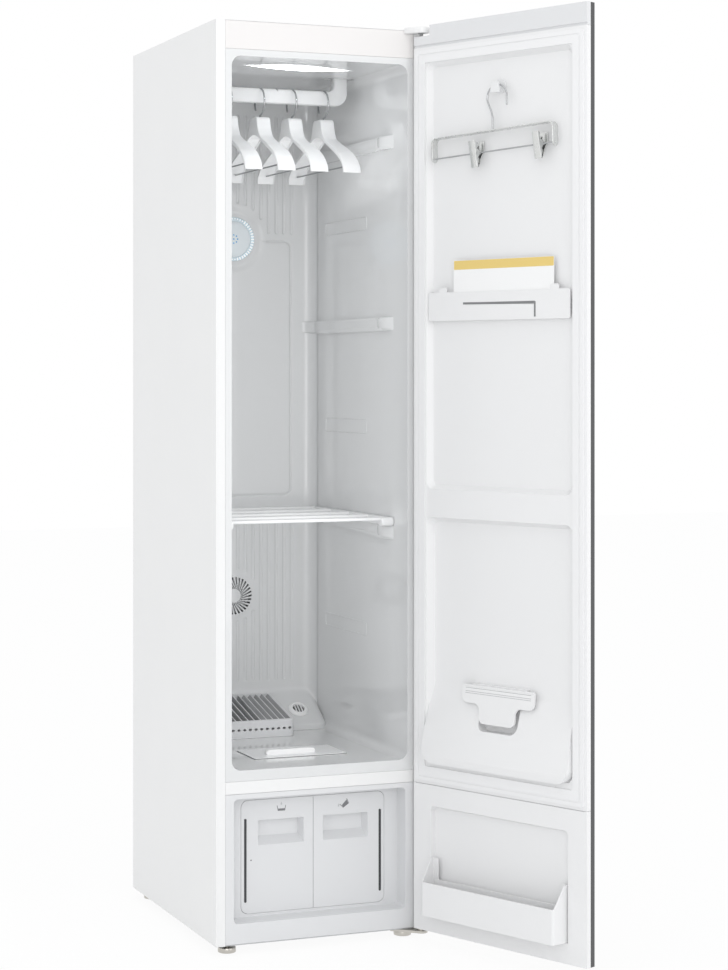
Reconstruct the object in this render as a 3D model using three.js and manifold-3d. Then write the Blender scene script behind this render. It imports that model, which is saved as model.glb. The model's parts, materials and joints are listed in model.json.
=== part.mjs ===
// Clothes care steam cabinet, with its door standing open.
// Millimetres, +X to the right seen from the front, +Y to the back, +Z up, floor at Z = 0.
// The origin is the middle of the front left foot's sole.
import * as THREE from "three";
import { mergeVertices } from "three/addons/utils/BufferGeometryUtils.js";
import Module from "manifold-3d";

const wasm = await Module();
wasm.setup();

// Overall sizes
const cabinetWidth = 445;
const bodyDepth = 557;
const overallHeight = 1850;
const footHeight = 18;
const doorAboveBody = 5;
const doorThickness = 24;
const doorGap = 4;
const doorSideMargin = 1;
const doorLift = 4;
const doorOpenDegrees = 113.25;

// Clearances
const seat = 0.3;
const slideGap = 0.6;
const overrun = 6;
const roundest = 2.01;

// Outer case
const caseSheet = 1.2;
const flangeWidth = 19.3;
const flangeReturn = 30;
const rearLip = 14;
const coverSheet = 1.5;
const beamHeight = 57;
const beamDepth = 34;
const panelSheet = 2;
const railHeight = 25;
const railDepth = 22;
const railAboveFeet = 298;
const trayUpstand = 24;

// Clothes compartment
const cavityHalfWidth = 189.5;
const cavityFloorAboveRail = 21.5;
const ceilingBelowBeam = 13.5;
const cavityCorner = 20;
const backWallInset = 35;
const backWall = 8;
const backCornerRadius = 27;
const lowerSupportBackGap = 40;
const supportFront = 72;
const supportHeight = 28;
const supportReach = 13;
const supportNarrow = 6;
const supportStep = 2;
const supportHead = 40;
const supportTaper = 42;
const shelfAboveFloor = 488.5;
const middleSupportBelowCeiling = 510.5;
const upperSupportBelowCeiling = 134.5;

// Back wall relief
const flutePitch = 18.3;
const fluteWidth = 7.5;
const fluteDepth = 1.6;
const fluteCountShare = 8;
const upperFluteBelowCeiling = 52.5;
const upperFluteAboveRing = 9;
const lowerFluteBelowShelf = 13;
const lowerFluteAbovePlinth = 25;
const dishRadius = 76;
const bowlRadius = 59;
const bowlDepth = 3;
const ringBelowCeiling = 328.5;
const ringOuter = 50;
const ringInner = 40;
const ringThickness = 6;
const ringCoverDome = 2;
const ringDot = 2.2;
const ringDotCircle = 9;
const insetHalfWidth = 134;
const insetAboveShelf = 26;
const insetBelowRing = 4;
const insetDepth = 1.2;
const insetGroove = 8;
const insetGrooveDepth = 2.6;
const insetCorner = 14;

// Circulation fan behind the back wall
const fanBelowShelf = 197;
const fanRadius = 45;
const fanHub = 12;
const fanRim = 3.5;
const fanFace = 4;
const fanSlots = 30;
const fanSlotWidth = 4.4;
const rotorRadius = 41;
const rotorDepth = 9;
const rotorPlate = 2;
const rotorBlades = 16;
const rotorBlade = 1.8;
const fanMotorRadius = 24;
const fanMotorDepth = 7;
const fanShaft = 3;

// Plinth, air grille and steam outlet at the back of the floor
const plinthLength = 98;
const plinthLip = 11;
const plinthHeight = 74.5;
const plinthCorner = 26;
const grilleHalfWidth = 82;
const grilleBeforePlinth = 64;
const grilleHeight = 37.5;
const grilleWall = 9;
const grilleCorner = 10;
const finCountShare = 11;
const finThickness = 2;
const finFloor = 12;
const holeWidth = 7.5;
const holeHeight = 5;
const holeHeightAboveFloor = 18.5;
const holePitch = 13;
const outletX = 133;
const outletBehindPlinthFront = 41;
const outletRadius = 20;
const outletStem = 13;
const outletDepth = 16;
const outletDome = 5;
const outletSlot = 4;

// Lint filter in the floor
const filterHalfWidth = 102;
const filterFront = 110;
const filterLength = 110;
const filterDepth = 12;
const filterPlate = 2.6;
const filterHandle = 109;
const filterHandleDepth = 13;
const filterHandleHeight = 12;
const filterFrame = 6;

// Ceiling light
const lampHalfWidth = 122;
const lampY = 125;
const lampDepth = 30;
const lampThickness = 4;
const lampSeat = 2;

// Moving hanger bar and its drive above the ceiling
const barAheadOfMiddle = 3;
const barBelowCeiling = 27.5;
const barHeight = 31;
const barThickness = 20;
const barHalfWidth = 160;
const barArm = 31;
const barOuterCorner = 27;
const barInnerCorner = 12;
const barEdge = 5;
const barTravel = 15;
const notchHalfWidth = 4;
const notchDepth = 6;
const hangerPitch = 72;
const carriageThickness = 4;
const carriageHalfDepth = 26;
const carriageSkid = 3;
const yokeWidth = 10;
const yokeLength = 42;
const crankRadius = 22;
const crankThickness = 5;
const crankPin = 4;
const crankLift = 8;
const motorRadius = 27;
const motorHeight = 22;
const motorFoot = 10;
const motorBase = 3;

// Clothes hangers
const hookRadius = 29;
const hookWire = 3.5;
const hangerNeckBelowBar = 62;
const hookStem = 4;
const hangerHalfSpan = 163;
const hangerTipWidth = 38;
const hangerNeckWidth = 30;
const hangerDrop = 124;
const trouserRod = 3;
const trouserRodAboveTip = 16;

// Shelf
const shelfFront = 67;
const shelfBackGap = 18;
const shelfRailWidth = 9;
const shelfRailInset = 2;
const shelfRailHeight = 18;
const shelfCapWidth = 27;
const shelfCapDepth = 22;
const shelfCapHeight = 18;
const shelfRod = 7;
const shelfRods = 5;

// Lower compartment with the two water tanks
const bayHalfWidth = 185;
const bayFootHeight = 42;
const bayBelowRail = 10;
const bayCorner = 9;
const tankFaceY = 42;
const tanksHalfWidth = 155;
const tankAboveBay = 8;
const tankBelowBay = 12;
const tankCorner = 15;
const tankDepth = 250;
const tankPlate = 6;
const tankWall = 2.5;
const tankInset = 5;
const tankLid = 4;
const tankLidDrop = 16;
const tankFiller = 16;
const gaugeFromSide = 9;
const gaugeWidth = 5.5;
const gaugeAboveTankFoot = 22;
const gaugeBelowTankTop = 36;
const gripWidth = 98;
const gripCentre = 70;
const gripHeight = 50;
const gripBelowTankTop = 41;
const gripDepth = 20;
const gripSideSlope = 6;
const gripFootSlope = 15;

// Feet
const footX = 190;
const footY = 28;
const footRadius = 18;
const footDisc = 11;
const footNeck = 8;
const footStud = 5;
const footStudLength = 20;
const rearFootInset = 37;

// Machines behind the tanks
const compressorRadius = 58;
const compressorHeight = 150;
const compressorX = 130;
const compressorFromBack = 117;
const compressorFoot = 8;
const exchangerLength = 180;
const exchangerDepth = 46;
const exchangerHeight = 120;
const exchangerFins = 6;
const exchangerFin = 4;
const exchangerBehindTanks = 58;
const boilerWidth = 96;
const boilerDepth = 70;
const boilerHeight = 110;
const boilerNeck = 7;
const boardWidth = 180;
const boardDepth = 90;
const boardSheet = 2;
const boardPost = 4;
const boardLift = 10;
const boardFromBack = 127;

// Door
const doorEdge = 3;
const doorSkinDepth = 12;
const doorFace = 3.5;
const capHeight = 44;
const capLap = 5;
const notchInDoor = 42;
const notchDrop = 21;
const linerPanel = 2.5;
const splitAboveRailFoot = 3;
const gasketWidth = 25.5;
const gasketMargin = 6.5;
const gasketHeight = 3.5;
const gasketCorner = 4;
const recessDepth = 11;
const recessHalfTop = 187;
const recessHalfInner = 177;
const recessBelowCap = 33;
const recessAboveShelf = 63;
const lowRecessAboveShelf = 7;
const lowRecessDepth = 16;
const lowRecessAboveSplit = 47;
const recessSlope = 9;
const recessRound = 16;
const apronShoulder = 50;
const apronOut = 19;
const apronAboveSplit = 46;
const apronRound = 28;
const apronWaist = 184;
const apronRise = 105;
const apronSideGap = 0.5;
const binRecessHalf = 176;
const binRecessDepth = 12;
const binRecessAboveDoorFoot = 18;
const binRecessBelowSplit = 43;

// Pocket, hook and clamp on the door
const pocketHalf = 171;
const pocketFrontHalf = 181;
const pocketHeight = 57;
const pocketBelowCap = 497;
const pocketWall = 2.2;
const tongueFrom = -97;
const tongueTo = 97;
const tongueBelowPocketTop = 23;
const tongueGap = 4.5;
const bumpX = 143;
const bumpHalf = 11;
const bumpHeight = 10;
const hookBelowCap = 100;
const hookDisc = 15;
const hookDiscLift = 5;
const hookReach = 20.5;
const hookNeck = 5;
const hookBlockHalf = 11;
const hookBlockHeight = 21;
const hookBlockLift = 1;
const hookBlockDepth = 6;
const clampHalf = 92;
const clampAboveKnee = 58;
const clampWing = 34;
const clampTongueHalf = 46;
const clampTongue = 38;
const clampPlate = 4;
const clampRound = 13;
const clampLean = 5.5;
const clampPin = 2.5;
const clampStand = 9;

// Door bin
const binHalf = 173;
const binFrontHalf = 170;
const binAboveDoorFoot = 40.5;
const binFrontHeight = 67.5;
const binEarHeight = 109.5;
const binReach = 37;
const binWall = 2.6;
const binCorner = 7;
const binRail = 5;

// Door hinges
const hingeX = 212.5;
const hingeY = -16;
const hingePin = 4;
const hingeArm = 10;
const hingeArmBelowBodyTop = 3;
const hingeEye = 13;
const hingeTab = 3;
const hingeTabHeight = 14;
const hingeTabFrom = 181;
const hingeTabTo = 204;
const hingeEndX = 213;
const hingeEndY = -20;
const hingeEndRadius = 15;
const hingeCollar = 7;
const lowerPlate = 5;
const lowerPlateFrom = 158;
const lowerPlateBack = 46;
const hingePinGrip = 20;

// Trouser hanger on the door's hook
const clipHangerTilt = 2.3;
const clipBarHalf = 156;
const clipBarShift = 13.5;
const clipStrip = 3;
const clipBarDepth = 17;
const clipBarCorner = 12;
const clipLegDrop = 49;
const clipWire = 3.5;
const clipBarBelowHook = 88;
const clipHookRadius = 25;
const clipRodDrop = 41;
const clipRod = 3;
const clipStud = 2.6;
const clipStudLength = 1.6;
const clipPlane = 1.5;
const clipLeft = -56.5;
const clipRight = 105;
const clipFrontHalf = 7.75;
const clipFlange = 5.4;
const clipSheet = 1.3;
const clipBackHalf = 11;
const clipBackFootHalf = 6;
const clipAboveRod = 23;
const clipBelowRod = 28;
const clipFrontTop = 16.5;
const clipFrontFoot = 9.5;
const clipBackPlane = 8.5;
const clipBackFoot = 1.5;
const clipKnuckleRadius = 3.4;

// Derived places
const bodyBottom = footHeight;
const bodyTop = overallHeight - doorAboveBody;
const halfWidth = cabinetWidth / 2;
const windowHalf = halfWidth - flangeWidth;
const beamBottom = bodyTop - beamHeight;
const railBottom = bodyBottom + railAboveFeet;
const railTop = railBottom + railHeight;
const cavityFloor = railTop + cavityFloorAboveRail;
const cavityCeiling = beamBottom - ceilingBelowBeam;
const backWallY = bodyDepth - backWallInset;
const linerBack = backWallY + backWall;
const linerTop = beamBottom - seat;
const coverY = bodyDepth - coverSheet;
const rearFootY = bodyDepth - rearFootInset;
const footStudTop = bodyBottom + footStudLength;

// Places inside the compartment
const shelfTop = cavityFloor + shelfAboveFloor;
const shelfLength = backWallY - shelfBackGap - shelfFront;
const lowerSupportLength = backWallY - lowerSupportBackGap - supportFront;
const middleSupportTop = cavityCeiling - middleSupportBelowCeiling;
const upperSupportTop = cavityCeiling - upperSupportBelowCeiling;
const ringZ = cavityCeiling - ringBelowCeiling;
const fanZ = shelfTop - fanBelowShelf;
const plinthFront = backWallY - plinthLength;
const plinthTop = cavityFloor + plinthHeight;
const plinthSlope = Math.atan2(plinthHeight - plinthLip, plinthLength);
const upperFluteTop = cavityCeiling - upperFluteBelowCeiling;
const upperFluteFoot = ringZ + upperFluteAboveRing;
const lowerFluteTop = shelfTop - lowerFluteBelowShelf;
const lowerFluteFoot = plinthTop + lowerFluteAbovePlinth;
const insetFoot = shelfTop + insetAboveShelf;
const insetTop = ringZ - insetBelowRing;
const grilleFront = plinthFront - grilleBeforePlinth;
const grilleLow = cavityFloor + grilleHeight;
const holeZ = cavityFloor + holeHeightAboveFloor;
const outletY = plinthFront + outletBehindPlinthFront;
const barY = backWallY / 2 - barAheadOfMiddle;
const barTop = cavityCeiling - barBelowCeiling;
const hangerNeckTop = barTop - hangerNeckBelowBar;
const hangerTipZ = hangerNeckTop - hangerDrop;
const trouserRodZ = hangerTipZ + trouserRodAboveTip;

// Places below the compartment and behind it
const bayFoot = bodyBottom + bayFootHeight;
const bayTop = railBottom - bayBelowRail;
const bayBack = tankFaceY + tankPlate / 2;
const tankFoot = bayFoot + tankAboveBay;
const tankTop = bayTop - tankBelowBay;
const gaugeFoot = tankFoot + gaugeAboveTankFoot;
const gaugeTop = tankTop - gaugeBelowTankTop;
const gripTop = tankTop - gripBelowTankTop;
const gripFoot = gripTop - gripHeight;
const compressorY = bodyDepth - compressorFromBack;
const exchangerY = tankFaceY + tankDepth + exchangerBehindTanks;
const boardY = bodyDepth - boardFromBack;

// Places on the door
const doorBottom = bodyBottom + doorLift;
const doorHalf = halfWidth - doorSideMargin;
const doorInner = -doorGap;
const skinInner = doorInner - doorSkinDepth;
const capFoot = overallHeight - capHeight;
const linerSplit = railBottom + splitAboveRailFoot;
const recessTop = capFoot - recessBelowCap;
const recessFoot = shelfTop + recessAboveShelf;
const lowRecessTop = shelfTop + lowRecessAboveShelf;
const lowRecessFoot = linerSplit + lowRecessAboveSplit;
const apronFoot = linerSplit + apronAboveSplit;
const apronKnee = apronFoot + apronRise;
const apronTop = apronKnee + apronShoulder;
const clampTop = apronKnee + clampAboveKnee;
const hookZ = capFoot - hookBelowCap;
const pocketTop = capFoot - pocketBelowCap;
const pocketFoot = pocketTop - pocketHeight;
const tongueTop = pocketTop - tongueBelowPocketTop;
const binFoot = doorBottom + binAboveDoorFoot;
const binFrontTop = binFoot + binFrontHeight;
const binEarTop = binFoot + binEarHeight;
const binRecessFoot = doorBottom + binRecessAboveDoorFoot;
const binRecessTop = linerSplit - binRecessBelowSplit;
const hingeArmTop = bodyTop - hingeArmBelowBodyTop;

// Solid modelling helpers
function solid(geometry) {
  const bare = geometry.clone();
  bare.deleteAttribute("normal");
  bare.deleteAttribute("uv");
  const merged = mergeVertices(bare);
  const triVerts = new Uint32Array(merged.index.array);
  return new wasm.Manifold(
    new wasm.Mesh({ numProp: 3, vertProperties: merged.attributes.position.array, triVerts })
  );
}

function toGeometry(body) {
  const mesh = body.getMesh();
  const geometry = new THREE.BufferGeometry();
  geometry.setAttribute("position", new THREE.BufferAttribute(mesh.vertProperties, mesh.numProp));
  geometry.setIndex(new THREE.BufferAttribute(mesh.triVerts, 1));
  const flat = geometry.toNonIndexed();
  flat.computeVertexNormals();
  return flat;
}

function join(bodies) {
  return bodies.reduce((whole, body) => whole.add(body));
}

function cut(body, tools) {
  return tools.reduce((rest, tool) => rest.subtract(tool), body);
}

function block(x0, x1, y0, y1, z0, z1) {
  const geometry = new THREE.BoxGeometry(x1 - x0, y1 - y0, z1 - z0);
  geometry.translate((x0 + x1) / 2, (y0 + y1) / 2, (z0 + z1) / 2);
  return solid(geometry);
}

// Extrusions of an outline drawn in the two other axes
function alongZ(shape, z0, z1, steps = 6) {
  const geometry = new THREE.ExtrudeGeometry(shape, {
    depth: z1 - z0, bevelEnabled: false, curveSegments: steps,
  });
  geometry.translate(0, 0, z0);
  return solid(geometry);
}

function alongY(shape, y0, y1, steps = 6) {
  const geometry = new THREE.ExtrudeGeometry(shape, {
    depth: y1 - y0, bevelEnabled: false, curveSegments: steps,
  });
  geometry.rotateX(Math.PI / 2);
  geometry.translate(0, y1, 0);
  return solid(geometry);
}

function alongX(shape, x0, x1, steps = 6) {
  const geometry = new THREE.ExtrudeGeometry(shape, {
    depth: x1 - x0, bevelEnabled: false, curveSegments: steps,
  });
  const turn = new THREE.Matrix4().makeBasis(
    new THREE.Vector3(0, 1, 0), new THREE.Vector3(0, 0, 1), new THREE.Vector3(1, 0, 0)
  );
  geometry.applyMatrix4(turn);
  geometry.translate(x0, 0, 0);
  return solid(geometry);
}

function outline(points) {
  return new THREE.Shape(points.map(([a, b]) => new THREE.Vector2(a, b)));
}

function roundRect(a0, a1, b0, b1, corner) {
  const radius = Math.min(corner, (a1 - a0) / roundest, (b1 - b0) / roundest);
  const shape = new THREE.Shape();
  shape.moveTo(a0 + radius, b0);
  shape.lineTo(a1 - radius, b0);
  shape.absarc(a1 - radius, b0 + radius, radius, -Math.PI / 2, 0, false);
  shape.lineTo(a1, b1 - radius);
  shape.absarc(a1 - radius, b1 - radius, radius, 0, Math.PI / 2, false);
  shape.lineTo(a0 + radius, b1);
  shape.absarc(a0 + radius, b1 - radius, radius, Math.PI / 2, Math.PI, false);
  shape.lineTo(a0, b0 + radius);
  shape.absarc(a0 + radius, b0 + radius, radius, Math.PI, Math.PI * 1.5, false);
  return shape;
}

function circle(a, b, radius) {
  const shape = new THREE.Shape();
  shape.absarc(a, b, radius, 0, Math.PI * 2, false);
  return shape;
}

function cylinderZ(x, y, radius, z0, z1, sides = 24) {
  const geometry = new THREE.CylinderGeometry(radius, radius, z1 - z0, sides);
  geometry.rotateX(Math.PI / 2);
  geometry.translate(x, y, (z0 + z1) / 2);
  return solid(geometry);
}

function cylinderY(x, z, radius, y0, y1, sides = 24) {
  const geometry = new THREE.CylinderGeometry(radius, radius, y1 - y0, sides);
  geometry.translate(x, (y0 + y1) / 2, z);
  return solid(geometry);
}

function cylinderX(y, z, radius, x0, x1, sides = 10) {
  const geometry = new THREE.CylinderGeometry(radius, radius, x1 - x0, sides);
  geometry.rotateZ(Math.PI / 2);
  geometry.translate((x0 + x1) / 2, y, z);
  return solid(geometry);
}

// A body between equal outlines, each placed in space by its own function
function loft(outlines, places) {
  const count = outlines[0].length;
  const positions = [];
  outlines.forEach((points, k) => points.forEach((p) => positions.push(...places[k](p).toArray())));
  const index = [];
  for (let k = 0; k + 1 < outlines.length; k++) {
    for (let i = 0; i < count; i++) {
      const a = k * count + i;
      const b = k * count + ((i + 1) % count);
      index.push(a, b, b + count, a, b + count, a + count);
    }
  }
  const last = (outlines.length - 1) * count;
  for (const [a, b, c] of THREE.ShapeUtils.triangulateShape(outlines[0], [])) index.push(c, b, a);
  for (const [a, b, c] of THREE.ShapeUtils.triangulateShape(outlines.at(-1), [])) {
    index.push(last + a, last + b, last + c);
  }
  const geometry = new THREE.BufferGeometry();
  geometry.setAttribute("position", new THREE.Float32BufferAttribute(positions, 3));
  geometry.setIndex(index);
  const body = solid(geometry);
  if (body.volume() > 0) return body;
  const flipped = geometry.clone();
  flipped.setIndex(index.map((_, i) => index[i - (i % 3) + (2 - (i % 3))]));
  return solid(flipped);
}

function ringPoints(shape, steps) {
  return shape.extractPoints(steps).shape.filter(
    (p, i, all) => p.distanceTo(all[(i + 1) % all.length]) > seat / 10
  );
}

// A pocket whose walls slope from one outline at y0 to another at y1
function slopedPocket(shape0, y0, shape1, y1, steps = 4) {
  return loft(
    [ringPoints(shape0, steps), ringPoints(shape1, steps)],
    [(p) => new THREE.Vector3(p.x, y0, p.y), (p) => new THREE.Vector3(p.x, y1, p.y)]
  );
}

// A round bar bent along a path of straight runs and arcs
function wire(points, diameter, steps, sides = 8) {
  const path = new THREE.CatmullRomCurve3(points, false, "centripetal");
  const section = circle(0, 0, diameter / 2);
  const geometry = new THREE.ExtrudeGeometry(section, {
    steps, extrudePath: path, bevelEnabled: false, curveSegments: sides,
  });
  return solid(geometry);
}

// Materials
function paint(name, color, roughness, metalness = 0) {
  const material = new THREE.MeshStandardMaterial({ color, roughness, metalness });
  material.name = name;
  return material;
}
const steelWhite = () => paint("white_steel", 0xf1f0ef, 0.32);
const linerGrey = () => paint("liner_plastic", 0xd6d8d8, 0.22);
const whitePlastic = () => paint("white_plastic", 0xf2f3f3, 0.35);
const greyPlastic = () => paint("light_grey_plastic", 0xdcdcdd, 0.45);
const darkGlass = () => paint("mirror_glass", 0x3b3d40, 0.08, 0.6);
const nickel = () => paint("nickel", 0xb9b4ab, 0.28, 1);
const chrome = () => paint("chrome", 0xc9ccce, 0.12, 1);
const rubber = () => paint("gasket_rubber", 0xeff0f0, 0.6);
const lampWhite = () => paint("lamp_lens", 0xfafdff, 0.3);
const darkMetal = () => paint("dark_metal", 0x3a3b3d, 0.5, 0.7);
const zinc = () => paint("zinc_steel", 0x9fa3a6, 0.45, 0.9);
const circuitGreen = () => paint("circuit_board", 0x2f5d45, 0.6);

const cabinet = new THREE.Group();
const doorGroup = new THREE.Group();

function piece(name, body, material, group = cabinet) {
  const mesh = new THREE.Mesh(toGeometry(body), material);
  mesh.name = name;
  group.add(mesh);
  return mesh;
}

// Case, covers and base
function outerCase() {
  const outer = block(-halfWidth, halfWidth, 0, bodyDepth, bodyBottom, bodyTop);
  const inside = halfWidth - caseSheet;
  const hollow = block(
    -inside, inside, caseSheet, bodyDepth + overrun, bodyBottom - overrun, bodyTop - caseSheet
  );
  const window = block(
    -windowHalf, windowHalf, -overrun, caseSheet + overrun, bodyBottom - overrun, bodyTop - caseSheet
  );
  const shell = cut(outer, [hollow, window]);
  const lips = [-1, 1].flatMap((side) => {
    const a = side * windowHalf;
    const b = side * (windowHalf + caseSheet);
    const c = side * halfWidth;
    const d = side * (halfWidth - rearLip);
    const rear = coverY - seat;
    return [
      block(Math.min(a, b), Math.max(a, b), 0, flangeReturn, bodyBottom, bodyTop),
      block(Math.min(c, d), Math.max(c, d), rear - caseSheet, rear, bodyBottom, bodyTop),
    ];
  });
  return join([shell, ...lips]);
}

function channel(z0, z1, depth) {
  const half = windowHalf - seat;
  const outer = block(-half, half, 0, depth, z0, z1);
  const hollow = block(
    -half - overrun, half + overrun, panelSheet, depth + overrun, z0 + panelSheet, z1 - panelSheet
  );
  return cut(outer, [hollow]);
}

function rearCover() {
  const half = halfWidth - caseSheet - seat;
  const sheet = block(
    -half, half, coverY, bodyDepth, bodyBottom + coverSheet + seat, bodyTop - caseSheet - seat
  );
  const vents = [];
  const ventCountShare = 9;
  const ventPitch = 14;
  const ventLength = 120;
  const ventWidth = 5;
  const ventFoot = bodyBottom + trayUpstand + ventPitch;
  for (let i = 0; i < ventCountShare; i++) {
    const z = ventFoot + i * ventPitch;
    vents.push(
      alongY(
        roundRect(-ventLength / 2, ventLength / 2, z, z + ventWidth, ventWidth / 2), coverY - overrun,
        bodyDepth + overrun, 1
      )
    );
  }
  return cut(sheet, vents);
}

function basePan() {
  const half = halfWidth - caseSheet - seat;
  const back = coverY - caseSheet - 2 * seat;
  const trayFront = bayBack + seat;
  const tray = block(-half, half, trayFront, back, bodyBottom, bodyBottom + trayUpstand);
  const hollow = block(
    -half + panelSheet, half - panelSheet, trayFront + panelSheet, back - panelSheet,
    bodyBottom + panelSheet, bodyBottom + trayUpstand + overrun
  );
  const tongueHalf = windowHalf - seat;
  const front = block(
    -tongueHalf, tongueHalf, caseSheet, trayFront + panelSheet, bodyBottom, bodyBottom + panelSheet
  );
  const holes = feetPlaces().map(([x, y]) =>
    cylinderZ(x, y, footStud + seat, bodyBottom - overrun, bodyBottom + panelSheet + overrun, 16)
  );
  return cut(join([cut(tray, [hollow]), front]), holes);
}

function feetPlaces() {
  return [
    [-footX, footY], [footX, footY], [-footX, rearFootY], [footX, rearFootY],
  ];
}

function foot(x, y) {
  const chamfer = 2;
  const points = [
    [0, 0], [footRadius - chamfer, 0], [footRadius, chamfer], [footRadius, footDisc - chamfer],
    [footRadius - chamfer, footDisc], [footNeck, footDisc], [footStud, footDisc + chamfer / 2],
    [footStud, footStudTop], [0, footStudTop],
  ].map(([r, z]) => new THREE.Vector2(r, z));
  const geometry = new THREE.LatheGeometry(points, 16);
  geometry.rotateX(Math.PI / 2);
  geometry.translate(x, y, 0);
  return solid(geometry);
}

// Clothes compartment
function shelfSupport(side, top, length, wraps) {
  const wall = cavityHalfWidth + seat;
  const y0 = supportFront;
  const y1 = supportFront + length;
  const x = (reach) => side * (cavityHalfWidth - reach);
  const plan = outline([
    [side * wall, y0], [x(supportReach), y0], [x(supportReach), y0 + supportHead],
    [x(supportNarrow), y0 + supportHead + supportTaper], [x(supportNarrow), y1 - supportNarrow],
    [side * wall, wraps ? y1 - supportNarrow : y1],
  ]);
  const bar = alongZ(plan, top - supportHeight, top);
  const slope = outline([
    [y0 - overrun, top - supportHeight - overrun], [y1 + overrun, top - supportHeight - overrun],
    [y1 + overrun, top - supportHeight / 2], [y0 + supportHead, top - supportHeight],
    [y0 - overrun, top - supportHeight],
  ]);
  return wraps ? bar : cut(bar, [alongX(slope, -halfWidth, halfWidth)]);
}

function cavityLiner() {
  const half = windowHalf - seat;
  const shell = block(-half, half, 0, linerBack, railTop + seat, linerTop);
  const cavity = alongY(
    roundRect(-cavityHalfWidth, cavityHalfWidth, cavityFloor, cavityCeiling, cavityCorner),
    -overrun, linerBack + overrun, 6
  );
  const armHalf = (barArm + 2 * barTravel) / 2 + slideGap;
  const armX = barHalfWidth - barArm / 2;
  const slotY = barThickness / 2 + slideGap;
  const slots = [-1, 1].map((side) =>
    block(
      side * armX - armHalf, side * armX + armHalf, barY - slotY, barY + slotY, cavityCeiling - overrun,
      linerTop + overrun
    )
  );
  const lampRecess = alongZ(lampShape(seat), cavityCeiling - overrun, cavityCeiling + lampSeat + seat);
  const filterPocket = block(
    -filterHalfWidth - slideGap, filterHalfWidth + slideGap, filterFront - slideGap,
    filterFront + filterLength + slideGap, cavityFloor - filterDepth - seat, cavityFloor + overrun
  );
  const airway = block(
    -grilleHalfWidth + grilleWall, grilleHalfWidth - grilleWall, grilleFront + grilleWall,
    backWallY - grilleWall,
    railTop - overrun, cavityFloor + overrun
  );
  const steamHole = cylinderZ(
    outletX, outletY, boilerNeck + slideGap, railTop - overrun, cavityFloor + overrun, 16
  );
  const body = cut(shell, [cavity, ...slots, lampRecess, filterPocket, airway, steamHole]);
  const supports = [-1, 1].flatMap((side) => [
    shelfSupport(side, shelfTop - shelfRailHeight - seat, lowerSupportLength, false),
    shelfSupport(side, middleSupportTop, backWallY - backCornerRadius - supportFront, true),
    shelfSupport(side, upperSupportTop, backWallY - backCornerRadius - supportFront, true),
  ]);
  return join([body, ...supports]);
}

function flutes() {
  const tools = [];
  const front = backWallY - overrun;
  const bottom = backWallY + fluteDepth;
  const fanKeepOut = fanRadius + fanRim + fluteWidth;
  const addFlute = (x, z0, z1) =>
    tools.push(
      alongY(roundRect(x - fluteWidth / 2, x + fluteWidth / 2, z0, z1, fluteWidth / 2), front, bottom, 1)
    );
  for (let k = 0; k < fluteCountShare; k++) {
    for (const side of [-1, 1]) {
      const x = side * (k + 1 / 2) * flutePitch;
      const inDish = Math.abs(x) < dishRadius;
      const foot = inDish ? ringZ + Math.sqrt(dishRadius ** 2 - x ** 2) + fluteWidth / 2 : upperFluteFoot;
      addFlute(x, Math.max(foot, upperFluteFoot), upperFluteTop);
      if (Math.abs(x) < fanKeepOut) {
        const rise = Math.sqrt(fanKeepOut ** 2 - x ** 2);
        addFlute(x, lowerFluteFoot, fanZ - rise);
        addFlute(x, fanZ + rise, lowerFluteTop);
      } else {
        addFlute(x, lowerFluteFoot, lowerFluteTop);
      }
    }
  }
  return tools;
}

function plinthOutline() {
  const lip = cavityFloor + plinthLip;
  return outline([
    [plinthFront, cavityFloor + seat], [plinthFront - plinthLip / 2, lip - plinthLip / 2],
    [plinthFront, lip], [backWallY + seat, plinthTop], [backWallY + seat, cavityFloor + seat],
  ]);
}

function outletFrame(body) {
  const lip = cavityFloor + plinthLip;
  const z = lip + (outletY - plinthFront) * Math.tan(plinthSlope);
  return body.rotate([THREE.MathUtils.radToDeg(plinthSlope), 0, 0]).translate([outletX, outletY, z]);
}

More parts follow.
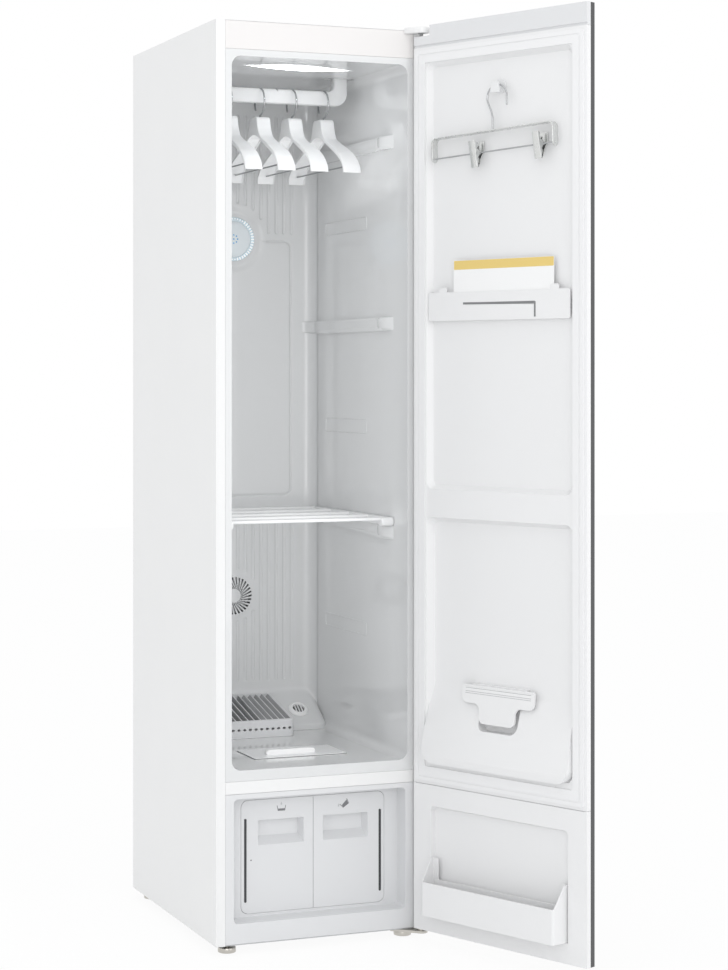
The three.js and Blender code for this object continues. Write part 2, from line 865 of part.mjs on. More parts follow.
function backPanel() {
  const half = cavityHalfWidth - seat;
  const side = half - seat;
  const plan = new THREE.Shape();
  plan.moveTo(-half, linerBack);
  plan.lineTo(-half, backWallY - backCornerRadius);
  plan.lineTo(-side, backWallY - backCornerRadius);
  plan.absarc(
    -side + backCornerRadius, backWallY - backCornerRadius, backCornerRadius, Math.PI, Math.PI / 2, true
  );
  plan.absarc(side - backCornerRadius, backWallY - backCornerRadius, backCornerRadius, Math.PI / 2, 0, true);
  plan.lineTo(half, backWallY - backCornerRadius);
  plan.lineTo(half, linerBack);
  const wall = alongZ(plan, cavityFloor, cavityCeiling, 6);
  const trim = alongY(
    roundRect(-half, half, cavityFloor + seat, cavityCeiling - seat, cavityCorner),
    plinthFront - overrun - plinthLip, linerBack, 6
  );
  const plinthPlan = alongZ(
    roundRect(-half, half, plinthFront - plinthLip / 2, linerBack + plinthCorner, plinthCorner),
    cavityFloor, plinthTop + seat, 5
  );
  const plinth = alongX(plinthOutline(), -half, half).intersect(plinthPlan);
  const body = join([wall, plinth]).intersect(trim);
  const dish = slopedPocket(
    circle(
      0, ringZ, dishRadius
    ), backWallY - seat / 2, circle(0, ringZ, bowlRadius), backWallY + bowlDepth, 16
  );
  const bowl = slopedPocket(
    circle(
      0, ringZ, bowlRadius - seat
    ), backWallY, circle(0, ringZ, ringOuter + seat), backWallY + backWall - seat, 16
  );
  const ringHole = cylinderY(0, ringZ, ringOuter + seat, backWallY, linerBack + overrun, 48);
  const inset = alongY(
    roundRect(
      -insetHalfWidth, insetHalfWidth, insetFoot, insetTop, insetCorner
    ), backWallY - overrun, backWallY + insetDepth, 4
  );
  const grooveOuter = alongY(
    roundRect(
      -insetHalfWidth - insetGroove, insetHalfWidth + insetGroove, insetFoot - insetGroove,
      insetTop + insetGroove, insetCorner + insetGroove
    ),
    backWallY - overrun, backWallY + insetGrooveDepth, 4
  );
  const grooveInner = alongY(
    roundRect(
      -insetHalfWidth, insetHalfWidth, insetFoot, insetTop, insetCorner
    ), backWallY - 2 * overrun, backWallY + 2 * overrun, 4
  );
  const dishZone = cylinderY(
    0, ringZ, dishRadius + insetGroove / 2, backWallY - 2 * overrun, backWallY + 2 * overrun, 32
  );
  const groove = cut(grooveOuter, [grooveInner, dishZone]);
  const fanHole = cylinderY(0, fanZ, fanRadius + seat, backWallY - overrun, linerBack + overrun, 32);
  const grilleBay = block(
    -grilleHalfWidth - seat, grilleHalfWidth + seat, plinthFront - overrun - plinthLip, backWallY,
    cavityFloor - overrun, plinthTop + overrun
  );
  const steamHole = outletFrame(cylinderZ(0, 0, outletStem + seat, -outletDepth - seat, overrun, 20));
  const steamWay = cylinderZ(
    outletX, outletY, boilerNeck + slideGap, cavityFloor - overrun, cavityFloor + plinthLip * 2, 16
  );
  const ridges = [-1, 1].map((s) => {
    const x0 = s * (half - backCornerRadius);
    const support = outline([
      [s * half, backWallY - backCornerRadius], [s * (half - supportNarrow), backWallY - backCornerRadius],
      [
        s * (half - supportNarrow - supportStep), backWallY - backCornerRadius / 2
      ], [x0, backWallY - supportNarrow / 2],
      [x0, backWallY + seat], [s * half, backWallY + seat],
    ]);
    return alongZ(support, middleSupportTop - supportHeight, middleSupportTop);
  });
  const carved = cut(body, [
    inset, groove, dish, bowl, ringHole, fanHole, grilleBay, steamHole, steamWay, ...flutes(),
  ]);
  return join([carved, ...ridges]);
}

// Ring light in the upper back wall
function ringLens() {
  const y0 = backWallY + bowlDepth;
  const ring = circle(0, ringZ, ringOuter);
  ring.holes.push(circle(0, ringZ, ringInner));
  return alongY(ring, y0, y0 + ringThickness, 24);
}

function ringCover() {
  const y0 = backWallY + bowlDepth;
  const rim = ringInner - seat;
  const points = [
    [0, ringThickness], [rim, ringThickness], [rim, 0], [rim * 0.8, -ringCoverDome / 2],
    [0, -ringCoverDome],
  ].map(([r, y]) => new THREE.Vector2(r, y));
  const geometry = new THREE.LatheGeometry(points.reverse(), 32);
  geometry.translate(0, y0, ringZ);
  const dots = [cylinderY(0, ringZ, ringDot, y0 - overrun, y0 + ringThickness + overrun, 8)];
  const dotCountShare = 8;
  for (let i = 0; i < dotCountShare; i++) {
    const a = (i / dotCountShare) * Math.PI * 2;
    const x = ringDotCircle * Math.cos(a);
    const z = ringZ + ringDotCircle * Math.sin(a);
    dots.push(cylinderY(x, z, ringDot, y0 - overrun, y0 + ringThickness + overrun, 8));
  }
  return cut(solid(geometry), dots);
}

// Circulation fan
function fanGrille() {
  const y0 = backWallY - fanRim / 2;
  const disc = cylinderY(0, fanZ, fanRadius, y0, y0 + fanFace, 36);
  const slots = [];
  const inner = fanHub + fanRim;
  const outer = fanRadius - fanRim;
  const sweep = Math.PI / fanSlots * 4;
  for (let i = 0; i < fanSlots; i++) {
    const a = (i / fanSlots) * Math.PI * 2;
    const from = new THREE.Vector2(Math.cos(a), Math.sin(a)).multiplyScalar(inner);
    const to = new THREE.Vector2(Math.cos(a + sweep), Math.sin(a + sweep)).multiplyScalar(outer);
    const along = to.clone().sub(from).normalize();
    const side = new THREE.Vector2(-along.y, along.x);
    const narrow = (fanSlotWidth * inner) / outer;
    const corners = [
      from.clone().addScaledVector(side, -narrow / 2), to.clone().addScaledVector(side, -fanSlotWidth / 2),
      to.clone().addScaledVector(side, fanSlotWidth / 2), from.clone().addScaledVector(side, narrow / 2),
    ];
    const slot = outline(corners.map((p) => [p.x, fanZ + p.y]));
    slots.push(alongY(slot, y0 - overrun, y0 + fanFace + overrun));
  }
  return cut(disc, slots);
}

function fanRotor() {
  const y0 = linerBack + slideGap * 2;
  const y1 = y0 + rotorDepth;
  const plate = cylinderY(0, fanZ, rotorRadius, y1 - rotorPlate, y1, 32);
  const hub = cylinderY(0, fanZ, fanHub, y0, y1, 16);
  const blades = [];
  for (let i = 0; i < rotorBlades; i++) {
    const turn = (i / rotorBlades) * 360;
    const length = rotorRadius - fanHub;
    const blade = block(0, length, -rotorBlade / 2, rotorBlade / 2, y0, y1 - rotorPlate / 2)
      .rotate([0, 0, 35]).translate([fanHub - rotorPlate, 0, 0]).rotate([0, 0, turn]);
    blades.push(blade);
  }
  const rim = cylinderZ(0, 0, rotorRadius, y0, y1, 32);
  const fans = join(blades).intersect(rim).rotate([-90, 0, 0]).translate([0, 0, fanZ]);
  const bore = cylinderY(0, fanZ, fanShaft + seat, y0 - overrun, y1 + overrun, 12);
  return cut(join([plate, hub, fans]), [bore]);
}

function fanMotor() {
  const y0 = linerBack + slideGap * 2 + rotorDepth + slideGap;
  const y1 = coverY - seat;
  const can = cylinderY(0, fanZ, fanMotorRadius, y1 - fanMotorDepth, y1, 24);
  const shaft = cylinderY(0, fanZ, fanShaft, linerBack + seat, y1 - seat, 12);
  const collar = cylinderY(0, fanZ, fanShaft * 2, y0, y1 - seat, 12);
  return join([can, shaft, collar]);
}

// Air grille with sloping fins, in front of the back wall
function airGrille() {
  const z0 = cavityFloor + seat;
  const back = backWallY - seat;
  const rise = plinthTop - seat;
  const profile = outline([
    [grilleFront, z0], [grilleFront, grilleLow - grilleWall / 3], [grilleFront + grilleWall / 3, grilleLow],
    [grilleFront + grilleWall, grilleLow], [back, rise], [back, z0],
  ]);
  const plan = alongZ(
    roundRect(-grilleHalfWidth, grilleHalfWidth, grilleFront, back + grilleCorner, grilleCorner),
    z0, rise + overrun, 4
  );
  const body = alongX(profile, -grilleHalfWidth, grilleHalfWidth).intersect(plan);
  const inner = grilleHalfWidth - grilleWall / 2;
  const pitch = (2 * inner) / finCountShare;
  const slots = [];
  for (let i = 0; i < finCountShare; i++) {
    const x0 = -inner + i * pitch + finThickness / 2;
    slots.push(
      block(
        x0, x0 + pitch - finThickness, grilleFront + grilleWall, back - grilleWall, z0 + finFloor,
        rise + overrun
      )
    );
  }
  const holes = [];
  const holeCountShare = 12;
  for (let i = 0; i < holeCountShare; i++) {
    const x = (i - (holeCountShare - 1) / 2) * holePitch;
    holes.push(alongY(
      roundRect(
        x - holeWidth / 2, x + holeWidth / 2, holeZ - holeHeight / 2, holeZ + holeHeight / 2, holeHeight / 2
      ),
      grilleFront - overrun, grilleFront + grilleWall + overrun, 1
    ));
  }
  return cut(body, [...slots, ...holes]);
}

function steamOutlet() {
  const points = [
    [0, -outletDepth + seat], [outletStem, -outletDepth + seat], [outletStem, seat], [outletRadius, seat],
    [outletRadius, outletDome / 2], [outletRadius * 0.8, outletDome], [0, outletDome * 1.1],
  ].map(([r, z]) => new THREE.Vector2(r, z));
  const geometry = new THREE.LatheGeometry(points, 24);
  geometry.rotateX(Math.PI / 2);
  const slots = [-1, 0, 1].map((k) => {
    const half = outletSlot / 2;
    const reach = outletRadius * (k === 0 ? 0.6 : 0.5);
    return block(
      k * outletSlot * 2 - half, k * outletSlot * 2 + half, -reach, reach, 0, outletDome + overrun
    );
  });
  return outletFrame(cut(solid(geometry), slots));
}

function lintFilter() {
  const x = filterHalfWidth;
  const y0 = filterFront;
  const y1 = filterFront + filterLength;
  const top = cavityFloor + filterPlate;
  const foot = cavityFloor - filterDepth;
  const body = block(-x, x, y0, y1, foot, cavityFloor);
  const wellCountShare = 4;
  const wellPitch = (2 * x - filterFrame) / wellCountShare;
  const wells = [];
  for (let i = 0; i < wellCountShare; i++) {
    const a = -x + filterFrame + i * wellPitch;
    wells.push(
      block(
        a, a + wellPitch - filterFrame, y0 + filterFrame, y1 - filterFrame, foot - overrun,
        cavityFloor - filterPlate
      )
    );
  }
  const lid = alongZ(
    roundRect(-x - slideGap, x + slideGap, y0 - slideGap * 2, y1, filterFrame), cavityFloor + seat, top, 3
  );
  const link = block(
    -x + filterFrame, x - filterFrame, y0 + filterFrame, y1 - filterFrame, cavityFloor - filterPlate,
    cavityFloor + seat * 2
  );
  const grip = alongY(
    roundRect(
      -filterHandle / 2, filterHandle / 2, cavityFloor + seat, cavityFloor + filterHandleHeight, filterFrame
    ),
    y0 + filterLength / 4, y0 + filterLength / 4 + filterHandleDepth, 3
  );
  return join([cut(body, wells), lid, link, grip]);
}

function lampShape(grow) {
  const half = lampHalfWidth + grow;
  const deep = lampDepth / 2 + grow;
  const bend = half * 0.4;
  const shape = new THREE.Shape();
  shape.moveTo(-half, lampY);
  shape.quadraticCurveTo(-bend, lampY - deep, 0, lampY - deep);
  shape.quadraticCurveTo(bend, lampY - deep, half, lampY);
  shape.quadraticCurveTo(bend, lampY + deep, 0, lampY + deep);
  shape.quadraticCurveTo(-bend, lampY + deep, -half, lampY);
  return shape;
}

// Moving hanger bar, its carriage and its crank drive
function hangerBar() {
  const z0 = barTop - barHeight;
  const z1 = linerTop + carriageSkid;
  const inner = barHalfWidth - barArm;
  const shape = new THREE.Shape();
  shape.moveTo(-barHalfWidth, z1);
  shape.lineTo(-barHalfWidth, z0 + barOuterCorner);
  shape.absarc(
    -barHalfWidth + barOuterCorner, z0 + barOuterCorner, barOuterCorner, Math.PI, Math.PI * 1.5, false
  );
  shape.lineTo(barHalfWidth - barOuterCorner, z0);
  shape.absarc(barHalfWidth - barOuterCorner, z0 + barOuterCorner, barOuterCorner, -Math.PI / 2, 0, false);
  shape.lineTo(barHalfWidth, z1);
  shape.lineTo(inner, z1);
  shape.lineTo(inner, barTop + barInnerCorner);
  shape.absarc(inner - barInnerCorner, barTop + barInnerCorner, barInnerCorner, 0, -Math.PI / 2, true);
  shape.lineTo(-inner + barInnerCorner, barTop);
  shape.absarc(
    -inner + barInnerCorner, barTop + barInnerCorner, barInnerCorner, -Math.PI / 2, -Math.PI, true
  );
  shape.lineTo(-inner, z1);
  const geometry = new THREE.ExtrudeGeometry(shape, {
    depth: barThickness - 2 * barEdge, bevelEnabled: true, bevelThickness: barEdge,
    bevelSize: barEdge, bevelOffset: -barEdge, bevelSegments: 2, curveSegments: 5,
  });
  geometry.rotateX(Math.PI / 2);
  geometry.translate(0, barY + barThickness / 2 - barEdge, 0);
  const notchShares = [-1.5, -0.5, 0, 0.5, 1.5];
  const notches = notchShares.map((share) => {
    const x = share * hangerPitch;
    const vee = outline([
      [x, barTop - notchDepth], [
        x + notchHalfWidth, barTop + seat * 2
      ], [x - notchHalfWidth, barTop + seat * 2],
    ]);
    return alongY(vee, barY - barThickness, barY + barThickness);
  });
  return cut(solid(geometry), notches);
}

function hangerCarriage() {
  const z0 = linerTop + carriageSkid + seat;
  const half = barHalfWidth + carriageSkid;
  const plate = alongZ(
    roundRect(
      -half, half, barY - carriageHalfDepth, barY + carriageHalfDepth, carriageSkid * 2
    ), z0, z0 + carriageThickness, 3
  );
  const slot = alongZ(
    roundRect(-yokeWidth / 2, yokeWidth / 2, barY - yokeLength / 2, barY + yokeLength / 2, yokeWidth / 2),
    z0 - overrun, z0 + carriageThickness + overrun, 4
  );
  const skids = [-1, 1].map((side) => {
    const y = barY + side * (carriageHalfDepth - carriageSkid);
    return block(
      -half + carriageSkid, half - carriageSkid, y - carriageSkid, y + carriageSkid, linerTop + seat,
      z0 + seat
    );
  });
  return join([cut(plate, [slot]), ...skids]);
}

function crankZ() {
  return linerTop + carriageSkid + seat + carriageThickness + crankLift;
}

function hangerCrank() {
  const z = crankZ();
  const disc = cylinderZ(0, barY, crankRadius, z, z + crankThickness, 28);
  const pin = cylinderZ(0, barY + barTravel, crankPin, z - crankLift + seat * 2, z + seat, 12);
  const bore = cylinderZ(0, barY, fanShaft + seat, z - overrun, z + crankThickness + overrun, 12);
  return cut(join([disc, pin]), [bore]);
}

function driveMotor() {
  const z = crankZ();
  const z0 = z + crankThickness + slideGap;
  const can = cylinderZ(0, barY, motorRadius, z0, z0 + motorHeight, 28);
  const shaft = cylinderZ(0, barY, fanShaft, z + seat, z0 + seat, 12);
  const bridgeY = carriageHalfDepth + motorFoot;
  const bridge = block(-motorFoot, motorFoot, barY - bridgeY, barY + bridgeY, z0, z0 + motorBase);
  const legs = [-1, 1].map((side) => {
    const y = barY + side * (bridgeY - motorBase / 2);
    return block(-motorFoot, motorFoot, y - motorBase / 2, y + motorBase / 2, linerTop + seat, z0 + seat);
  });
  return join([can, shaft, bridge, ...legs]);
}

// One clothes hanger: flared plastic shoulders, trouser rod and steel hook
function hookCentreZ() {
  return barTop - notchDepth / 3 + hookWire / 2 - hookRadius;
}

function hangerBody(x) {
  const half = hangerHalfSpan;
  const top = hangerNeckTop;
  const tip = hangerTipZ;
  const drop = top - tip;
  const rightShares = [
    [0.11, 0], [0.15, 0.07], [0.175, 0.2], [0.245, 0.335], [0.415, 0.445], [0.65, 0.575], [0.87, 0.745],
    [0.975, 0.905], [1, 1],
  ];
  const underShares = [
    [0.97, 1], [0.925, 0.845], [0.8, 0.72], [0.48, 0.54], [0.233, 0.38], [0.12, 0.325], [0, 0.3],
  ];
  const right = [...rightShares, ...underShares].map(([a, b]) => [barY + a * half, top - b * drop]);
  const left = [...rightShares, ...underShares].reverse().map(([a, b]) => [barY - a * half, top - b * drop]);
  const seen = new Set();
  const profile = [...right, ...left].filter(([a, b]) => {
    const key = `${a.toFixed(2)} ${b.toFixed(2)}`;
    return seen.has(key) ? false : seen.add(key);
  });
  const side = alongX(outline(profile), x - hangerTipWidth, x + hangerTipWidth);
  const wide = hangerTipWidth / 2;
  const slim = hangerNeckWidth / 2;
  const planShares = [[0, slim], [0.3, slim], [0.65, (slim + wide) / 2], [1.02, wide]];
  const plan = [
    ...planShares.map(([a, w]) => [x + w, barY + a * half]),
    ...planShares.slice().reverse().map(([a, w]) => [x - w, barY + a * half]),
    ...planShares.slice(1).map(([a, w]) => [x - w, barY - a * half]),
    ...planShares.slice(1).reverse().map(([a, w]) => [x + w, barY - a * half]),
  ];
  const above = alongZ(outline(plan), tip - overrun, top + overrun);
  const rodHalf = half * 0.943;
  const rod = wire(
    [new THREE.Vector3(x, barY - rodHalf, trouserRodZ), new THREE.Vector3(x, barY + rodHalf, trouserRodZ)],
    trouserRod, 1, 4
  );
  const socket = cylinderZ(x, barY, hookWire / 2 + seat, top - hookWire * 3, top + overrun, 8);
  return cut(join([side.intersect(above), rod]), [socket]);
}

function hangerHook(x) {
  const centre = hookCentreZ();
  const points = [
    new THREE.Vector3(x, barY, hangerNeckTop - hookWire * 2),
    new THREE.Vector3(x, barY, hangerNeckTop),
    new THREE.Vector3(x, barY - hookWire / 2, hangerNeckTop + hookStem),
  ];
  const turnShares = [1.38, 1.24, 1.06, 0.88, 0.7, 0.52, 0.34, 0.16, -0.02, -0.16];
  for (const share of turnShares) {
    const a = share * Math.PI;
    points.push(new THREE.Vector3(x, barY + Math.cos(a) * hookRadius, centre + Math.sin(a) * hookRadius));
  }
  return wire(points, hookWire, 19, 4);
}

// Shelf of tubes between two moulded side rails
function shelfRack() {
  const outer = cavityHalfWidth - slideGap;
  const top = shelfTop;
  const y1 = shelfFront + shelfLength;
  const rails = [-1, 1].flatMap((side) => {
    const a = side * outer;
    const b = side * (outer - shelfRailInset);
    const c = side * (outer - shelfRailInset - shelfRailWidth);
    const d = side * (outer - shelfCapWidth);
    const cap = alongX(
      roundRect(shelfFront, shelfFront + shelfCapDepth, top - shelfCapHeight, top, shelfRod / 2),
      Math.min(a, d), Math.max(a, d), 3
    );
    return [block(Math.min(b, c), Math.max(b, c), shelfFront + seat, y1, top - shelfRailHeight, top), cap];
  });
  const rods = [];
  for (let i = 0; i < shelfRods; i++) {
    const y = shelfFront + shelfCapDepth / 2 + (i * (shelfLength - shelfCapDepth)) / (shelfRods - 1);
    rods.push(
      cylinderX(
        y, top - shelfRod / 2 - seat, shelfRod / 2, -outer + shelfRailWidth, outer - shelfRailWidth, 10
      )
    );
  }
  return join([...rails, ...rods]);
}

// Lower compartment and water tanks
function bayPocket(grow, y1) {
  const x = bayHalfWidth + grow;
  const slope = seat * 4;
  return slopedPocket(
    roundRect(-x, x, bayFoot - grow, bayTop + grow, bayCorner + grow), -seat,
    roundRect(-x + slope, x - slope, bayFoot - grow + slope, bayTop + grow - slope, bayCorner + grow), y1
  );
}

function tankBay() {
  const half = windowHalf - seat;
  const z0 = bodyBottom + panelSheet + seat;
  const z1 = railBottom - seat;
  const front = block(-half, half, 0, bayBack, z0, z1);
  const inside = block(
    -half + panelSheet, half - panelSheet, panelSheet, bayBack + overrun, z0 + panelSheet, z1 - panelSheet
  );
  const plate = cut(
    front, [bayPocket(0, tankFaceY), cut(inside, [bayPocket(panelSheet, bayBack + overrun)])]
  );
  const gap = slideGap;
  const sleeveBack = tankFaceY + tankDepth + tankWall * 2;
  const sleeve = block(
    -tanksHalfWidth - gap - tankWall, tanksHalfWidth + gap + tankWall, bayBack - seat, sleeveBack,
    tankFoot - gap - tankWall, tankTop + gap + tankWall
  );
  const aperture = alongY(
    roundRect(-tanksHalfWidth - gap, tanksHalfWidth + gap, tankFoot - gap, tankTop + gap, tankCorner),
    -overrun, sleeveBack - tankWall, 5
  );
  const studHoles = feetPlaces().map(([x, y]) =>
    cylinderZ(x, y, footStud + seat, z0 - overrun, z0 + panelSheet + overrun, 16)
  );
  return cut(join([plate, sleeve]), [aperture, ...studHoles]);
}

function tankFront(side, depth0, depth1) {
  const outer = roundRect(-tanksHalfWidth, tanksHalfWidth, tankFoot, tankTop, tankCorner);
  const half = side < 0 ? [-tanksHalfWidth, -seat / 2] : [seat / 2, tanksHalfWidth];
  return alongY(outer, depth0, depth1, 5).intersect(
    block(half[0], half[1], depth0 - overrun, depth1 + overrun, tankFoot, tankTop)
  );
}

function waterTank(side) {
  const y0 = tankFaceY;
  const y1 = tankFaceY + tankDepth;
  const face = tankFront(side, y0, y0 + tankPlate);
  const a = side * (seat / 2 + tankWall);
  const b = side * (tanksHalfWidth - tankInset);
  const [x0, x1] = [Math.min(a, b), Math.max(a, b)];
  const rim = tankTop - tankLidDrop;
  const tub = (wall) => alongY(
    roundRect(x0 + wall, x1 - wall, tankFoot + seat + wall, rim + 2 * tankCorner, tankCorner - wall),
    wall ? y0 + tankPlate : y0 + tankPlate - seat, y1 - wall, 4
  );
  const shell = tub(0).intersect(block(x0, x1, y0, y1, tankFoot, rim));
  const hollow = tub(tankWall);
  const gx = side * gripCentre;
  const mouth = roundRect(gx - gripWidth / 2, gx + gripWidth / 2, gripFoot, gripTop, seat * 5);
  const floor = roundRect(
    gx - gripWidth / 2 + gripSideSlope, gx + gripWidth / 2 - gripSideSlope, gripFoot + gripFootSlope,
    gripTop - seat * 4, seat * 5
  );
  const grip = slopedPocket(mouth, y0 - seat / 3, floor, y0 + gripDepth, 2);
  const cup = block(
    gx - gripWidth / 2 - tankWall, gx + gripWidth / 2 + tankWall, y0 + tankPlate / 2,
    y0 + gripDepth + tankWall,
    gripFoot - tankWall, gripTop + tankWall
  );
  const sx = side * (tanksHalfWidth - gaugeFromSide);
  const gauge = alongY(
    roundRect(
      sx - gaugeWidth / 2, sx + gaugeWidth / 2, gaugeFoot, gaugeTop, gaugeWidth / 2
    ), y0 - overrun, y0 + tankPlate / 2, 4
  );
  return cut(join([face, cut(shell, [hollow]), cup]), [grip, gauge]);
}

function tankLidPiece(side) {
  const a = side * (seat / 2 + tankWall);
  const b = side * (tanksHalfWidth - tankInset);
  const [x0, x1] = [Math.min(a, b), Math.max(a, b)];
  const y0 = tankFaceY + tankPlate + seat;
  const y1 = tankFaceY + tankDepth;
  const z0 = tankTop - tankLidDrop + seat;
  const plate = alongZ(roundRect(x0, x1, y0, y1, tankWall), z0, z0 + tankLid, 2);
  const skirt = block(
    x0 + tankWall + seat, x1 - tankWall - seat, y0 + tankWall, y1 - tankWall - seat, z0 - tankLid, z0 + seat
  );
  const skirtHollow = block(
    x0 + 2 * tankWall, x1 - 2 * tankWall, y0 + 2 * tankWall, y1 - 2 * tankWall, z0 - tankLid - overrun, z0
  );
  const cx = (x0 + x1) / 2;
  const cy = y1 - tankFiller * 2;
  const hole = cylinderZ(cx, cy, tankFiller, z0 - overrun, z0 + tankLid + overrun, 20);
  const grip = block(
    cx - tankFiller, cx + tankFiller, y0 + tankFiller, y0 + tankFiller * 1.5, z0 + tankLid - seat,
    z0 + tankLid * 2
  );
  return cut(join([plate, cut(skirt, [skirtHollow]), grip]), [hole]);
}

// Machines
function compressor() {
  const z0 = bodyBottom + panelSheet + seat;
  const round = 14;
  const r = compressorRadius;
  const h = compressorHeight;
  const points = [
    [0, compressorFoot], [r - round, compressorFoot], [r, compressorFoot + round], [r, h - round * 2],
    [r - round, h - round / 2], [r / 3, h], [0, h],
  ].map(([a, b]) => new THREE.Vector2(a, b));
  const geometry = new THREE.LatheGeometry(points, 28);
  geometry.rotateX(Math.PI / 2);
  geometry.translate(-compressorX, compressorY, z0);
  const feet = [-1, 1].map((side) =>
    block(
      -compressorX - r, -compressorX + r, compressorY + (side * r) / 2 - round,
      compressorY + (side * r) / 2 + round, z0, z0 + compressorFoot + seat * 2
    )
  );
  return join([solid(geometry), ...feet]);
}

function heatExchanger() {
  const x0 = -exchangerLength / 3;
  const z0 = bodyBottom + panelSheet + seat;
  const y0 = exchangerY - exchangerDepth / 2;
  const fins = [];
  const pitch = exchangerLength / exchangerFins;
  for (let i = 0; i <= exchangerFins; i++) {
    const x = x0 + i * pitch;
    fins.push(block(x, x + exchangerFin, y0, y0 + exchangerDepth, z0, z0 + exchangerHeight));
  }
  const tubes = [];
  const tubeRowShares = [0.25, 0.75];
  for (const row of tubeRowShares) {
    for (const column of [0.28, 0.72]) {
      tubes.push(cylinderX(
        y0 + column * exchangerDepth, z0 + row * exchangerHeight, exchangerFin * 1.5, x0 - exchangerFin,
        x0 + exchangerLength + 2 * exchangerFin, 6
      ));
    }
  }
  return join([...fins, ...tubes]);
}

function steamGenerator() {
  const z0 = bodyBottom + panelSheet + seat;
  const lidLap = 3;
  const x0 = outletX - boilerWidth / 2;
  const y0 = outletY - boilerDepth / 2;
  const tub = alongZ(
    roundRect(x0, x0 + boilerWidth, y0, y0 + boilerDepth, boilerNeck), z0, z0 + boilerHeight, 3
  );
  const collar = alongZ(
    roundRect(
      x0 - lidLap, x0 + boilerWidth + lidLap, y0 - lidLap, y0 + boilerDepth + lidLap, boilerNeck + lidLap
    ),
    z0 + boilerHeight * 0.7, z0 + boilerHeight * 0.76, 3
  );
  const neck = cylinderZ(outletX, outletY, boilerNeck, z0 + boilerHeight - seat, cavityFloor + plinthLip, 14);
  return join([tub, collar, neck]);
}

function controlBoard() {
  const z0 = linerTop + seat;
  const plate = block(
    -boardWidth / 2, boardWidth / 2, boardY - boardDepth / 2, boardY + boardDepth / 2, z0 + boardLift,
    z0 + boardLift + boardSheet
  );
  const posts = [];
  for (const sx of [-1, 1]) {
    for (const sy of [-1, 1]) {
      const x = sx * (boardWidth / 2 - 2 * boardPost);
      const y = boardY + sy * (boardDepth / 2 - 2 * boardPost);
      posts.push(cylinderZ(x, y, boardPost, z0, z0 + boardLift + seat, 8));
    }
  }
  const partShares = [[-0.3, -0.2, 0.16, 0.2, 3.5], [0.1, 0.15, 0.1, 0.3, 5], [0.34, -0.2, 0.08, 0.16, 6]];
  const parts = partShares.map(([a, b, w, d, h]) => block(
    a * boardWidth - w * boardWidth, a * boardWidth + w * boardWidth, boardY + b * boardDepth - (
      d * boardDepth
    ) / 2,
    boardY + b * boardDepth + (d * boardDepth) / 2, z0 + boardLift + seat, z0 + boardLift + h * boardPost
  ));
  return join([plate, ...posts, ...parts]);
}

// Door, drawn closed and then swung open about its hinge
function doorSkin() {
  const outer = block(-doorHalf, doorHalf, doorInner - doorThickness, skinInner, doorBottom, overallHeight);
  const hollow = block(
    -doorHalf + doorEdge, doorHalf - doorEdge, doorInner - doorThickness + doorFace, skinInner + overrun,
    doorBottom + doorEdge, overallHeight - doorEdge
  );
  return cut(outer, [hollow]);
}

function hingeBore(z0, z1) {
  return cylinderZ(hingeX, hingeY, hingePin + seat, z0, z1, 16);
}

// A door end piece that fills the skin's end and carries the hinge bore
function doorEnd(z0, z1, coreFrom, coreTo) {
  const lap = doorEdge + seat;
  const plate = block(-doorHalf, doorHalf, skinInner + seat, doorInner, z0, z1);
  const core = block(
    -doorHalf + lap, doorHalf - lap, doorInner - doorThickness + doorFace + seat, skinInner + 2 * seat,
    coreFrom, coreTo
  );
  return join([plate, core]);
}

function doorTopCap() {
  const z0 = overallHeight - capHeight;
  const body = doorEnd(z0, overallHeight, z0, overallHeight - doorEdge - seat);
  const notch = block(
    doorHalf - notchInDoor, doorHalf + overrun, doorInner - doorThickness - overrun, doorInner + overrun,
    overallHeight - notchDrop, overallHeight + overrun
  );
  const lip = block(
    -doorHalf, doorHalf, doorInner - capLap / 2, doorInner, z0, z0 + capLap
  );
  return cut(body, [notch, hingeBore(overallHeight - notchDrop - hingePinGrip, overallHeight), lip]);
}

function skinNotch() {
  return block(
    doorHalf - notchInDoor, doorHalf + overrun, doorInner - doorThickness - overrun, skinInner + overrun,
    overallHeight - notchDrop, overallHeight + overrun
  );
}

function recessCutter(half0, z0, z1, depth, slope) {
  return slopedPocket(
    roundRect(-half0, half0, z0, z1, recessRound), doorInner + seat,
    roundRect(
      -half0 + slope, half0 - slope, z0 + slope, z1 - slope, recessRound - slope / 2
    ), doorInner - depth, 4
  );
}

function doorApron() {
  const out = doorInner + apronOut;
  const inset = doorInner - lowRecessDepth - seat;
  const profile = outline([
    [inset, apronTop], [out - apronOut * 0.55, apronKnee - (apronKnee - apronFoot) * 0.35],
    [out - apronOut * 0.1, apronFoot + apronRound], [out, apronFoot + apronRound / 2],
    [out - apronOut * 0.12, apronFoot], [inset, apronFoot],
  ]);
  const wedge = alongX(profile, -doorHalf, doorHalf);
  const full = recessHalfTop - apronSideGap;
  const face = new THREE.Shape();
  face.moveTo(-apronWaist, apronTop + overrun);
  face.lineTo(-apronWaist, apronKnee);
  face.bezierCurveTo(
    -apronWaist, apronKnee - apronRound, -full, apronKnee - apronRound, -full, apronFoot + 2 * apronRound
  );
  face.lineTo(-full, apronFoot + apronRound);
  face.absarc(-full + apronRound, apronFoot + apronRound, apronRound, Math.PI, Math.PI * 1.5, false);
  face.lineTo(full - apronRound, apronFoot);
  face.absarc(full - apronRound, apronFoot + apronRound, apronRound, -Math.PI / 2, 0, false);
  face.lineTo(full, apronFoot + 2 * apronRound);
  face.bezierCurveTo(full, apronKnee - apronRound, apronWaist, apronKnee - apronRound, apronWaist, apronKnee);
  face.lineTo(apronWaist, apronTop + overrun);
  return wedge.intersect(alongY(face, inset - overrun, out + overrun, 5));
}

